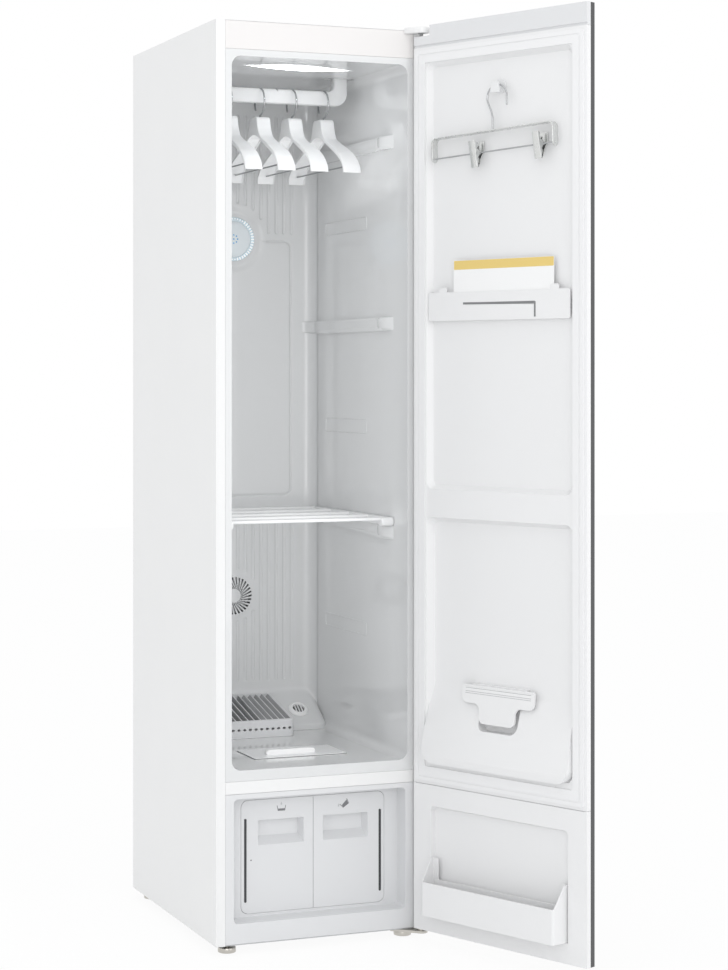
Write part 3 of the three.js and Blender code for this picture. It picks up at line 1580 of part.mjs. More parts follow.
function doorLiner() {
  const z0 = linerSplit + seat;
  const z1 = overallHeight - capHeight - seat;
  const plate = block(-doorHalf, doorHalf, skinInner + seat, doorInner, z0, z1);
  const lap = doorEdge + seat;
  const core = block(
    -doorHalf + lap, doorHalf - lap, doorInner - lowRecessDepth - linerPanel, skinInner + 2 * seat, z0, z1
  );
  const upper = recessCutter(recessHalfTop, recessFoot, recessTop, recessDepth, recessSlope);
  const lower = recessCutter(recessHalfTop, lowRecessFoot, lowRecessTop, lowRecessDepth, recessSlope);
  const standHalf = clampHalf * 0.75;
  const floor = doorInner - lowRecessDepth;
  const stand = block(
    -standHalf, standHalf, floor - seat, floor + clampStand, clampTop - clampWing * 0.8,
    clampTop + clampPin * 2
  );
  const fingers = block(
    -clampTongueHalf - clampRound, clampTongueHalf + clampRound, floor, doorInner + apronOut + overrun,
    clampTop - clampWing - clampTongue - clampRound * 1.6, clampTop - clampWing * 0.8
  );
  const body = cut(join([plate, core]), [upper, lower]);
  const apron = cut(doorApron(), [fingers]);
  return join([body, apron, stand]);
}

function doorLowerPanel() {
  const body = doorEnd(doorBottom, linerSplit - seat, doorBottom + doorEdge + seat, linerSplit - seat);
  const floor = doorInner - binRecessDepth;
  const recess = slopedPocket(
    roundRect(-binRecessHalf, binRecessHalf, binRecessFoot, binRecessTop, bayCorner), doorInner + seat,
    roundRect(
      -binRecessHalf + panelSheet, binRecessHalf - panelSheet, binRecessFoot + panelSheet,
      binRecessTop - panelSheet * 2, bayCorner
    ),
    floor, 3
  );
  const lugs = [-1, 1].map((side) => {
    const a = side * binRecessHalf;
    const b = side * (binRecessHalf - panelSheet - binRail);
    return block(
      Math.min(a, b), Math.max(a, b), doorInner - binRail * 2, doorInner - binRail, binFoot + binRail * 3,
      binFoot + binRail * 5
    );
  });
  return join([cut(body, [recess, hingeBore(doorBottom - overrun, doorBottom + hingePinGrip)]), ...lugs]);
}

function doorGasket() {
  const outer = doorHalf - gasketMargin;
  const z0 = linerSplit + seat + gasketMargin;
  const z1 = overallHeight - capHeight - seat - gasketMargin;
  const inner = outer - gasketWidth;
  const ring = roundRect(-outer, outer, z0, z1, gasketCorner);
  ring.holes.push(roundRect(-inner, inner, z0 + gasketWidth + doorGap, z1 - gasketWidth, gasketCorner));
  const groove = roundRect(
    -outer + gasketWidth * 0.3, outer - gasketWidth * 0.3, z0 + gasketWidth * 0.3, z1 - gasketWidth * 0.3,
    gasketCorner
  );
  groove.holes.push(roundRect(
    -outer + gasketWidth * 0.4, outer - gasketWidth * 0.4, z0 + gasketWidth * 0.4,
    z1 - gasketWidth * 0.4, gasketCorner
  ));
  const y0 = doorInner + seat / 6;
  const y1 = doorInner + gasketHeight;
  return cut(alongY(ring, y0, y1, 3), [alongY(groove, y1 - gasketHeight / 3, y1 + overrun, 3)]);
}

function accessoryPocket() {
  const y1 = doorInner + seat;
  const y0 = doorInner - recessDepth + seat;
  const box = block(-pocketHalf, pocketHalf, y0, y1 - seat, pocketFoot, pocketTop);
  const front = alongY(
    roundRect(
      -pocketFrontHalf, pocketFrontHalf, pocketFoot, pocketTop, pocketWall * 2
    ), y1 - pocketWall, y1, 3
  );
  const hollow = block(
    -pocketHalf + pocketWall, pocketHalf - pocketWall, y0 + pocketWall, y1 - pocketWall,
    pocketFoot + pocketWall, pocketTop + overrun
  );
  const bumps = [-1, 1].map((side) => {
    const x = side * bumpX;
    return alongY(
      roundRect(x - bumpHalf, x + bumpHalf, pocketTop - bumpHeight, pocketTop + bumpHeight, bumpHeight / 2),
      y1 - pocketWall, y1, 3
    );
  });
  const window = outline([
    [-tongueTo, tongueTop], [
      -tongueFrom - tongueGap * 2, tongueTop + tongueGap / 2
    ], [-tongueFrom - tongueGap * 2, tongueTop - tongueGap / 2],
    [-tongueTo + tongueGap, tongueTop - tongueGap], [
      -tongueTo + tongueGap, pocketFoot + pocketWall * 2
    ], [-tongueTo, pocketFoot + pocketWall * 2],
  ]);
  const slot = alongY(window, y1 - pocketWall * 1.5, y1 + overrun);
  return cut(cut(join([box, front, ...bumps]), [hollow]), [slot]);
}

function doorHook() {
  const floor = doorInner - recessDepth + seat;
  const disc = cylinderY(0, hookZ + hookDiscLift, hookDisc, floor, floor + hookBlockDepth / 2, 24);
  const neck = cylinderY(0, hookZ, hookNeck, floor + seat, floor + hookReach, 16);
  const blockTop = hookZ + hookBlockLift + hookBlockHeight / 2;
  const face = outline([
    [-hookBlockHalf * 0.8, blockTop], [
      -hookBlockHalf, blockTop - hookBlockHeight
    ], [hookBlockHalf, blockTop - hookBlockHeight],
    [hookBlockHalf * 0.8, blockTop],
  ]);
  return join([disc, neck, alongY(face, floor + hookReach - hookBlockDepth, floor + hookReach)]);
}

function clampY() {
  return doorInner - lowRecessDepth + clampStand + seat;
}

function trouserClamp() {
  const y0 = clampY();
  const wingFoot = clampTop - clampWing;
  const foot = wingFoot - clampTongue;
  const r = clampRound;
  const t = clampTongueHalf;
  const shape = new THREE.Shape();
  shape.moveTo(-clampHalf, clampTop);
  shape.lineTo(-clampHalf, wingFoot + r);
  shape.absarc(-clampHalf + r, wingFoot + r, r, Math.PI, Math.PI * 1.5, false);
  shape.lineTo(-t - r, wingFoot);
  shape.absarc(-t - r, wingFoot - r, r, Math.PI / 2, 0, true);
  shape.lineTo(-t, foot + r);
  shape.absarc(-t + r, foot + r, r, Math.PI, Math.PI * 1.5, false);
  shape.lineTo(t - r, foot);
  shape.absarc(t - r, foot + r, r, -Math.PI / 2, 0, false);
  shape.lineTo(t, wingFoot - r);
  shape.absarc(t + r, wingFoot - r, r, Math.PI, Math.PI / 2, true);
  shape.lineTo(clampHalf - r, wingFoot);
  shape.absarc(clampHalf - r, wingFoot + r, r, -Math.PI / 2, 0, false);
  shape.lineTo(clampHalf, clampTop);
  const lean = new THREE.Matrix4().makeTranslation(0, y0, clampTop)
    .multiply(new THREE.Matrix4().makeRotationX(THREE.MathUtils.degToRad(clampLean)))
    .multiply(new THREE.Matrix4().makeTranslation(0, -y0, -clampTop));
  const flap = alongY(shape, y0, y0 + clampPlate, 4).transform(lean.elements);
  const rib = cylinderX(y0 + clampPin, clampTop, clampPin, -clampHalf * 0.98, clampHalf * 0.98, 10);
  return join([flap, rib]);
}

function doorBin() {
  const y0 = doorInner + seat;
  const y1 = doorInner + binReach;
  const back = doorInner - binRail;
  const plan = (grow) => {
    const shape = new THREE.Shape();
    const side = binHalf - grow;
    const front = binFrontHalf - grow;
    const r = binCorner - grow / 2;
    shape.moveTo(-side, back + grow);
    shape.lineTo(side, back + grow);
    shape.lineTo(front, y1 - grow - r);
    shape.quadraticCurveTo(front, y1 - grow, front - r, y1 - grow);
    shape.lineTo(-front + r, y1 - grow);
    shape.quadraticCurveTo(-front, y1 - grow, -front, y1 - grow - r);
    return shape;
  };
  const tub = alongZ(plan(0), binFoot, binEarTop, 4);
  const hollow = alongZ(plan(binWall), binFoot + binWall, binEarTop + overrun, 4);
  const trim = alongX(outline([
    [y0 + binRail, binEarTop], [y1 - binCorner / 2, binFrontTop], [y1 + overrun, binFrontTop],
    [y1 + overrun, binEarTop + overrun], [y0 + binRail, binEarTop + overrun],
  ]), -halfWidth, halfWidth);
  const backCut = block(
    -binHalf + binRail * 3, binHalf - binRail * 3, back - overrun, y0, binFrontTop, binEarTop + overrun
  );
  return cut(tub, [hollow, trim, backCut]);
}

// Hinges
function eyeShape(points) {
  const shape = new THREE.Shape();
  shape.moveTo(...points[0]);
  points.slice(1).forEach((p) => shape.lineTo(...p));
  return shape;
}

function upperHinge() {
  const z1 = hingeArmTop;
  const z0 = z1 - hingeArm;
  const root = block(hingeTabFrom, hingeTabTo, -hingeTab - seat, -seat, z0, z1);
  const eye = cylinderZ(hingeX, hingeY, hingeCollar + hingeTab, z0, z1, 24);
  const end = cylinderZ(hingeEndX, hingeEndY, hingeEndRadius, z0, z1, 32);
  const arm = wasm.Manifold.hull([root, eye, end]);
  const tab = block(hingeTabFrom, hingeTabTo, -hingeTab - seat, -seat, z1 - hingeTabHeight, z1 - seat);
  const collar = cylinderZ(hingeX, hingeY, hingeCollar, overallHeight - notchDrop + seat, z0 + seat, 16);
  const pin = cylinderZ(
    hingeX, hingeY, hingePin, overallHeight - notchDrop - hingePinGrip + seat, z1 - seat, 16
  );
  return join([arm, tab, collar, pin]);
}

function lowerHinge() {
  const z1 = bodyBottom - seat;
  const z0 = z1 - lowerPlate;
  const eye = cylinderZ(hingeX, hingeY, hingeEye, z0, z1, 24);
  const plate = alongZ(eyeShape([
    [lowerPlateFrom, lowerPlateBack], [lowerPlateFrom, footY / 2], [
      hingeX - hingeEye, hingeY - hingeEye * 0.4
    ],
    [hingeX, hingeY - hingeEye], [hingeX + hingeEye, hingeY], [halfWidth - caseSheet * 2, lowerPlateBack],
  ]), z0, z1);
  const hole = cylinderZ(footX, footY, footNeck + seat, z0 - overrun, z1 + overrun, 16);
  const pin = cylinderZ(hingeX, hingeY, hingePin, z0, doorBottom + hingePinGrip - seat, 16);
  const collar = cylinderZ(hingeX, hingeY, hingeCollar, z0, doorBottom - seat, 16);
  return join([cut(join([eye, plate]), [hole]), pin, collar]);
}

// Trouser hanger on the door's hook, drawn upright and then tilted about the hook
const clipY = doorInner + clipPlane;
const clipTop = hookZ + hookNeck + seat + clipWire / 2;
const clipBarZ = clipTop - clipBarBelowHook;

function clipHangerBar() {
  const z1 = clipBarZ;
  const half = clipBarHalf;
  const foot = z1 - clipLegDrop;
  const r = clipBarCorner;
  const ribbon = new THREE.Shape();
  ribbon.moveTo(clipBarShift - half, foot);
  ribbon.lineTo(clipBarShift - half + clipStrip, foot);
  ribbon.lineTo(clipBarShift - half + clipStrip, z1 - r);
  ribbon.absarc(clipBarShift - half + r, z1 - r, r - clipStrip, Math.PI, Math.PI / 2, true);
  ribbon.lineTo(clipBarShift + half - r, z1 - clipStrip);
  ribbon.absarc(clipBarShift + half - r, z1 - r, r - clipStrip, Math.PI / 2, 0, true);
  ribbon.lineTo(clipBarShift + half - clipStrip, foot);
  ribbon.lineTo(clipBarShift + half, foot);
  ribbon.lineTo(clipBarShift + half, z1 - r);
  ribbon.absarc(clipBarShift + half - r, z1 - r, r, 0, Math.PI / 2, false);
  ribbon.lineTo(clipBarShift - half + r, z1);
  ribbon.absarc(clipBarShift - half + r, z1 - r, r, Math.PI / 2, Math.PI, false);
  const deep = clipBarDepth / 2;
  const side = alongX(
    roundRect(clipY - deep, clipY + deep, foot, z1 + 2 * clipBarDepth, deep - seat),
    clipBarShift - half - overrun, clipBarShift + half + overrun, 4
  );
  const bar = alongY(ribbon, clipY - deep - overrun, clipY + deep + overrun, 5).intersect(side);
  const bore = clipRod / 2 + seat;
  const bores = [-1, 1].map((end) => {
    const x = clipBarShift + end * (half - clipStrip / 2);
    return cylinderX(clipY, clipRodZ(), bore, x - clipStrip, x + clipStrip, 12);
  });
  const hookSocket = cylinderZ(
    clipBarShift, clipY, clipWire / 2 + seat, z1 - clipStrip - overrun, z1 + overrun, 12
  );
  return cut(bar, [...bores, hookSocket]);
}

function clipHangerHook() {
  const r = clipHookRadius;
  const centre = clipTop - r;
  const at = (x, z) => new THREE.Vector3(x, clipY, z);
  const stem = centre - clipBarZ;
  const points = [
    at(clipBarShift, clipBarZ - clipStrip * 0.8), at(clipBarShift, clipBarZ + stem * 0.2),
    at(clipBarShift, clipBarZ + stem * 0.42), at((clipBarShift + r) * 0.43, clipBarZ + stem * 0.6),
    at(r * 0.89, clipBarZ + stem * 0.78),
  ];
  const turnShares = [0, 0.15, 0.3, 0.5, 0.7, 0.85, 1];
  for (const share of turnShares) {
    points.push(at(Math.cos(share * Math.PI) * r, centre + Math.sin(share * Math.PI) * r));
  }
  points.push(at(-r * 0.97, centre - r * 0.68));
  return wire(points, clipWire, 26, 6);
}

function clipHangerRod() {
  const half = clipBarHalf + seat;
  const studs = [-1, 1].map((end) => {
    const a = clipBarShift + end * half;
    const b = a + end * clipStudLength;
    return cylinderX(clipY, clipRodZ(), clipStud, Math.min(a, b), Math.max(a, b), 12);
  });
  const rod = cylinderX(
    clipY, clipRodZ(), clipRod / 2, clipBarShift - half - seat, clipBarShift + half + seat, 12
  );
  return join([rod, ...studs]);
}

function clipRodZ() {
  return clipBarZ - clipRodDrop;
}

function clipBore(x) {
  return cylinderX(clipY, clipRodZ(), clipRod / 2 + seat, x - clipBackHalf * 2, x + clipBackHalf * 2, 12);
}

// The back jaw: wide plate above the rod, slim below it, with the barrel between the front's ears
function clipBack(x) {
  const z = clipRodZ();
  const y0 = clipY - clipBackPlane;
  const foot = clipY + clipBackFoot;
  const bend = z - clipKnuckleRadius;
  const profile = outline([
    [y0 - clipSheet, z + clipAboveRod], [y0 - clipSheet, bend], [foot - clipSheet, z - clipBelowRod],
    [foot, z - clipBelowRod], [y0, bend], [y0, z + clipAboveRod],
  ]);
  const face = outline([
    [x - clipBackHalf, z + clipAboveRod + overrun], [x - clipBackHalf, z + clipSheet],
    [x - clipBackFootHalf, z - clipKnuckleRadius], [x - clipBackFootHalf, z - clipBelowRod - overrun],
    [x + clipBackFootHalf, z - clipBelowRod - overrun], [x + clipBackFootHalf, z - clipKnuckleRadius],
    [x + clipBackHalf, z + clipSheet], [x + clipBackHalf, z + clipAboveRod + overrun],
  ]);
  const plate = alongX(profile, x - clipBackHalf, x + clipBackHalf).intersect(
    alongY(face, y0 - clipSheet - overrun, foot + overrun)
  );
  const barrel = cylinderX(clipY, z, clipKnuckleRadius, x - clipBackFootHalf, x + clipBackFootHalf, 14);
  const web = block(
    x - clipBackFootHalf, x + clipBackFootHalf, y0 - seat, clipY, z - clipSheet, z + clipSheet
  );
  return cut(join([plate, barrel, web]), [clipBore(x)]);
}

// The front jaw: sheet with two side flanges that carry the ears
function clipFront(x) {
  const z = clipRodZ();
  const top = clipY + clipFrontTop;
  const foot = clipY + clipFrontFoot;
  const profile = (deep) => outline([
    [top, z + clipAboveRod], [top - deep, z + clipAboveRod], [foot - deep, z - clipBelowRod],
    [foot, z - clipBelowRod],
  ]);
  const plate = alongX(profile(clipSheet), x - clipFrontHalf, x + clipFrontHalf);
  const sides = [-1, 1].flatMap((side) => {
    const a = x + side * clipFrontHalf;
    const b = a - side * clipSheet;
    const lo = Math.min(a, b);
    const hi = Math.max(a, b);
    const middle = clipY + (clipFrontTop + clipFrontFoot) / 2 - clipSheet;
    const web = outline([
      [clipY, z + clipKnuckleRadius], [clipY, z - clipKnuckleRadius], [middle, z - 2 * clipKnuckleRadius],
      [middle, z + 2 * clipKnuckleRadius],
    ]);
    return [
      alongX(profile(clipFlange), lo, hi), alongX(web, lo, hi),
      cylinderX(clipY, z, clipKnuckleRadius, lo, hi, 14),
    ];
  });
  return cut(join([plate, ...sides]), [clipBore(x)]);
}

// Assembly
piece("outer_case", outerCase(), steelWhite());
piece("top_front_panel", channel(beamBottom, bodyTop - caseSheet - seat, beamDepth), steelWhite());
piece("mid_front_rail", channel(railBottom, railTop, railDepth), steelWhite());
piece("rear_cover", rearCover(), zinc());
piece("base_pan", basePan(), zinc());
piece("cavity_liner", cavityLiner(), linerGrey());
piece("back_panel", backPanel(), linerGrey());
piece("ring_light_lens", ringLens(), lampWhite());
piece("ring_light_cover", ringCover(), whitePlastic());
piece("fan_grille", fanGrille(), linerGrey());
piece("fan_rotor", fanRotor(), greyPlastic());
piece("fan_motor", fanMotor(), darkMetal());
piece("air_grille", airGrille(), greyPlastic());
piece("steam_outlet", steamOutlet(), whitePlastic());
piece("lint_filter", lintFilter(), whitePlastic());
const lampTop = cavityCeiling + lampSeat;
piece("ceiling_light_lens", alongZ(lampShape(0), lampTop - lampThickness, lampTop, 6), lampWhite());
piece("hanger_bar", hangerBar(), whitePlastic());
piece("hanger_carriage", hangerCarriage(), greyPlastic());
piece("hanger_crank", hangerCrank(), zinc());
piece("hanger_drive_motor", driveMotor(), darkMetal());
const hangerPlaceShares = [-1.5, -0.5, 0.5, 1.5];
hangerPlaceShares.forEach((share, i) => {
  const x = share * hangerPitch;
  piece(`clothes_hanger_${i + 1}`, hangerBody(x), whitePlastic());
  piece(`hanger_hook_${i + 1}`, hangerHook(x), chrome());
});
piece("shelf_rack", shelfRack(), whitePlastic());
piece("tank_bay", tankBay(), greyPlastic());
piece("drain_tank", waterTank(-1), greyPlastic());
piece("drain_tank_lid", tankLidPiece(-1), greyPlastic());
piece("supply_tank", waterTank(1), greyPlastic());
piece("supply_tank_lid", tankLidPiece(1), greyPlastic());
const footNames = ["front_left", "front_right", "rear_left", "rear_right"];
feetPlaces().forEach(([x, y], i) => piece(`foot_${footNames[i]}`, foot(x, y), nickel()));
piece("compressor", compressor(), darkMetal());
piece("heat_exchanger", heatExchanger(), zinc());
piece("steam_generator", steamGenerator(), greyPlastic());
piece("control_board", controlBoard(), circuitGreen());
piece("upper_hinge", upperHinge(), nickel());
piece("lower_hinge", lowerHinge(), nickel());

const skinBore = hingeBore(doorBottom - overrun, doorBottom + doorEdge + overrun);
piece("door_skin", cut(doorSkin(), [skinNotch(), skinBore]), darkGlass(), doorGroup);
piece("door_top_cap", doorTopCap(), greyPlastic(), doorGroup);
piece("door_liner", doorLiner(), whitePlastic(), doorGroup);
piece("door_lower_panel", doorLowerPanel(), whitePlastic(), doorGroup);
piece("door_gasket", doorGasket(), rubber(), doorGroup);
piece("accessory_pocket", accessoryPocket(), whitePlastic(), doorGroup);
piece("door_hook", doorHook(), whitePlastic(), doorGroup);
piece("trouser_clamp", trouserClamp(), whitePlastic(), doorGroup);
piece("door_bin", doorBin(), whitePlastic(), doorGroup);

const clipTilt = new THREE.Group();
const clipGroup = new THREE.Group();
piece("clip_hanger_bar", clipHangerBar(), nickel(), clipGroup);
piece("clip_hanger_hook", clipHangerHook(), chrome(), clipGroup);
piece("clip_hanger_rod", clipHangerRod(), zinc(), clipGroup);
for (const [side, at] of [["left", -clipLeft], ["right", -clipRight]]) {
  piece(`clip_back_${side}`, clipBack(at), nickel(), clipGroup);
  piece(`clip_front_${side}`, clipFront(at), nickel(), clipGroup);
}
clipGroup.position.set(0, 0, -clipTop);
clipTilt.position.set(0, 0, clipTop);
clipTilt.rotation.y = THREE.MathUtils.degToRad(clipHangerTilt);
clipTilt.add(clipGroup);
doorGroup.add(clipTilt);

// The door turns about its hinge line from closed to the open angle
const doorSwing = new THREE.Group();
doorGroup.position.set(-hingeX, -hingeY, 0);
doorSwing.position.set(hingeX, hingeY, 0);
doorSwing.rotation.z = THREE.MathUtils.degToRad(doorOpenDegrees);
doorSwing.add(doorGroup);
cabinet.add(doorSwing);

const wardrobe = new THREE.Group();
cabinet.position.set(footX, -footY, 0);
wardrobe.add(cabinet);
wardrobe.updateMatrixWorld(true);

export default wardrobe;
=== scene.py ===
"""Looks of the clothes care steam cabinet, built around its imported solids. Metres, floor at Z = 0."""

import json
import math
from math import cos, pi, radians, sin, sqrt

import bmesh
import bpy
from mathutils import Matrix, Vector


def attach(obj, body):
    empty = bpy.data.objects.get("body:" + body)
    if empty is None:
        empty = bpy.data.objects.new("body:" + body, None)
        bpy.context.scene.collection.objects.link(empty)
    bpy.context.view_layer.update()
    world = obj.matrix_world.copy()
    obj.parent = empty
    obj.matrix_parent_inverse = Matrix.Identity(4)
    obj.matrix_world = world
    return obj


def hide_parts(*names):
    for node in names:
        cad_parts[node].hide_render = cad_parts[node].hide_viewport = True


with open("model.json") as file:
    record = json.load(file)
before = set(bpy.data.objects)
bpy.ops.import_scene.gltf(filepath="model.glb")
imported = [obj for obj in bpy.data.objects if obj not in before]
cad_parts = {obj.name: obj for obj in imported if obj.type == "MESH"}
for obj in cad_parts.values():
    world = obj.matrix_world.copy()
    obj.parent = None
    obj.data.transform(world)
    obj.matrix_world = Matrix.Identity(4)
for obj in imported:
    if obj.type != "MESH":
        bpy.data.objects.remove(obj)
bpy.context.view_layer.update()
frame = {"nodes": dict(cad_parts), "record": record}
record = frame["record"]
slot_of = {part["node"]: part["material_slot"] for part in record["subparts"]}
body_of = {node: body for body, nodes in record["behaviour"]["bodies"].items() for node in nodes}

# Camera, from the photograph's perspective, measured from the middle of the cabinet's front
FRONT_CENTRE = Vector((0.190, -0.028, 0.0))
CAMERA_PLACE = Vector((-1.659, -4.151, 1.142))
CAMERA_YAW = radians(21.32)
PHOTO_HEIGHT = 970
PHOTO_WIDTH = 728
FOCAL_PIXELS = 2232.41
PRINCIPAL_X = 302.97
PRINCIPAL_Y = 375.93
SENSOR = 36.0

# Light
SKY_LEVEL = 0.92
KEY_POWER = 26.0
FILL_POWER = 12.0
TOP_POWER = 7.0
INNER_POWER = 0.40
STRIP_POWER = 4.0
UPPER_POWER = 0.22
LAMP_GLOW = 5.6
RING_GLOW = 0.55
FACE_GLOW = 0.08
DOT_GLOW = 0.16

# Sizes shared with the solids, in millimetres from the middle of the cabinet's front
CAVITY_HALF = 189.5
CAVITY_FLOOR = 362.5
CAVITY_CEILING = 1774.5
BACK_WALL = 522.0
BACK_ROUND = 27.0
SHELF_TOP = 851.0
RING_Z = 1446.0
RING_INNER = 40.0
RING_OUTER = 50.0
BOWL_RADIUS = 59.0
DISH_RADIUS = 76.0
BOWL_DEPTH = 3.0
FAN_Z = 654.0
FAN_RADIUS = 45.0
FAN_CLEAR = 56.0
TANK_FACE = 42.0
PLINTH_FRONT = 424.0
PLINTH_LIP = 373.5
PLINTH_TOP = 437.0
PLINTH_ROUND = 26.0
FLUTE_PITCH = 18.3
FLUTE_HALF = 3.75
FLUTE_DEPTH = 1.6
INSET_HALF = 134.0
INSET_FOOT = 877.0
INSET_TOP = 1442.0
INSET_ROUND = 14.0
GROOVE = 7.0
BAR_TOP = 1747.0
BAR_Y = 258.0
HANGER_PITCH = 72.0
NECK_TOP = 1685.0
HANGER_HALF = 163.0
HANGER_DROP = 124.0
HINGE_X = 212.5
HINGE_Y = -16.0
CLIP_TOP = 1713.05
CLIP_Y = -2.5
CLIP_TILT = radians(2.3)
CLIP_BAR_Z = 1625.05
CLIP_ROD_Z = 1584.05
CLIP_SHIFT = 13.5
CLIP_HALF = 156.0

# Where the tanks' marks end, 1 mm below the top of the solids
TANKS_TOP = 293.0
GAUGE_X = 146.0
GAUGE_HALF = 2.7
PICTURE_X = 69.0
PICTURE_Z = 273.0
PICTURE_SCALE = 0.9
POURING_TILT = 35.0

# Flutes' ends, in the upper and the lower field
HIGH_FLUTE_TOP = 1722.0
LOW_FLUTE_FOOT = 462.0
LOW_FLUTE_TOP = 838.0

# Ridges on the side walls: where they start, where their crest is, how high and how tall they stand
RIDGE_START = 71.6
RIDGE_CREST = 112.2
RIDGE_STEADY = 154.2
RIDGE_HIGH = 13.4
RIDGE_LOW = 6.4
RIDGE_TALL = 28.3


def camera():
    data = bpy.data.cameras.new("camera")
    data.sensor_width = SENSOR
    data.lens = FOCAL_PIXELS / PHOTO_HEIGHT * SENSOR
    data.shift_x = (PHOTO_WIDTH / 2 - PRINCIPAL_X) / PHOTO_HEIGHT
    data.shift_y = (PRINCIPAL_Y - PHOTO_HEIGHT / 2) / PHOTO_HEIGHT
    data.clip_end = 50.0
    eye = bpy.data.objects.new("camera", data)
    eye.location = FRONT_CENTRE + CAMERA_PLACE
    eye.rotation_euler = (pi / 2, 0.0, -CAMERA_YAW)
    bpy.context.scene.collection.objects.link(eye)
    bpy.context.scene.camera = eye


def background_rays(nodes, links):
    """1 for rays that look at the background directly, by gloss or through glass."""
    path = nodes.new("ShaderNodeLightPath")
    either = nodes.new("ShaderNodeMath")
    either.operation = "MAXIMUM"
    every = nodes.new("ShaderNodeMath")
    every.operation = "MAXIMUM"
    links.new(path.outputs["Is Camera Ray"], either.inputs[0])
    links.new(path.outputs["Is Glossy Ray"], either.inputs[1])
    links.new(either.outputs[0], every.inputs[0])
    links.new(path.outputs["Is Transmission Ray"], every.inputs[1])
    return every.outputs[0]


def sky():
    world = bpy.data.worlds.new("studio")
    world.use_nodes = True
    nodes, links = world.node_tree.nodes, world.node_tree.links
    nodes.clear()
    soft = nodes.new("ShaderNodeBackground")
    soft.inputs["Strength"].default_value = SKY_LEVEL
    seen = nodes.new("ShaderNodeBackground")
    seen.inputs["Color"].default_value = (1.0, 1.0, 1.0, 1.0)
    soft.inputs["Color"].default_value = (0.98, 0.99, 1.0, 1.0)
    mix = nodes.new("ShaderNodeMixShader")
    out = nodes.new("ShaderNodeOutputWorld")
    links.new(background_rays(nodes, links), mix.inputs[0])
    links.new(soft.outputs[0], mix.inputs[1])
    links.new(seen.outputs[0], mix.inputs[2])
    links.new(mix.outputs[0], out.inputs["Surface"])
    bpy.context.scene.world = world


def area_lamp(name, place, target, size, power, seen=True):
    data = bpy.data.lights.new(name, "AREA")
    data.shape = "RECTANGLE"
    data.size, data.size_y = size
    data.energy = power
    lamp = bpy.data.objects.new(name, data)
    lamp.location = FRONT_CENTRE + Vector(place)
    aim = FRONT_CENTRE + Vector(target) - lamp.location
    lamp.rotation_euler = aim.to_track_quat("-Z", "Y").to_euler()
    if not seen:
        lamp.visible_camera = False
        lamp.visible_glossy = False
    bpy.context.scene.collection.objects.link(lamp)


def floor():
    mesh = bpy.data.meshes.new("floor")
    reach = 12.0
    corners = [(-reach, -reach, 0), (reach, -reach, 0), (reach, reach, 0), (-reach, reach, 0)]
    mesh.from_pydata(corners, [], [(0, 1, 2, 3)])
    ground = bpy.data.objects.new("floor", mesh)
    bpy.context.scene.collection.objects.link(ground)
    material = bpy.data.materials.new("floor")
    material.use_nodes = True
    nodes, links = material.node_tree.nodes, material.node_tree.links
    nodes.clear()
    matt = nodes.new("ShaderNodeBsdfDiffuse")
    matt.inputs["Color"].default_value = (0.93, 0.93, 0.93, 1.0)
    white = nodes.new("ShaderNodeEmission")
    share = nodes.new("ShaderNodeMath")
    share.operation = "MULTIPLY"
    share.inputs[1].default_value = 0.93
    mix = nodes.new("ShaderNodeMixShader")
    out = nodes.new("ShaderNodeOutputMaterial")
    links.new(background_rays(nodes, links), share.inputs[0])
    links.new(share.outputs[0], mix.inputs[0])
    links.new(matt.outputs[0], mix.inputs[1])
    links.new(white.outputs[0], mix.inputs[2])
    links.new(mix.outputs[0], out.inputs["Surface"])
    mesh.materials.append(material)


def noise(nodes, links, coordinate, scale, detail=2.0):
    texture = nodes.new("ShaderNodeTexNoise")
    texture.inputs["Scale"].default_value = scale
    texture.inputs["Detail"].default_value = detail
    links.new(coordinate, texture.inputs["Vector"])
    return texture.outputs["Fac"]


def spread(nodes, links, value, low, high):
    ramp = nodes.new("ShaderNodeMapRange")
    ramp.interpolation_type = "SMOOTHSTEP"
    ramp.inputs["From Min"].default_value = 0.2
    ramp.inputs["From Max"].default_value = 0.8
    ramp.inputs["To Min"].default_value = low
    ramp.inputs["To Max"].default_value = high
    links.new(value, ramp.inputs["Value"])
    return ramp.outputs["Result"]


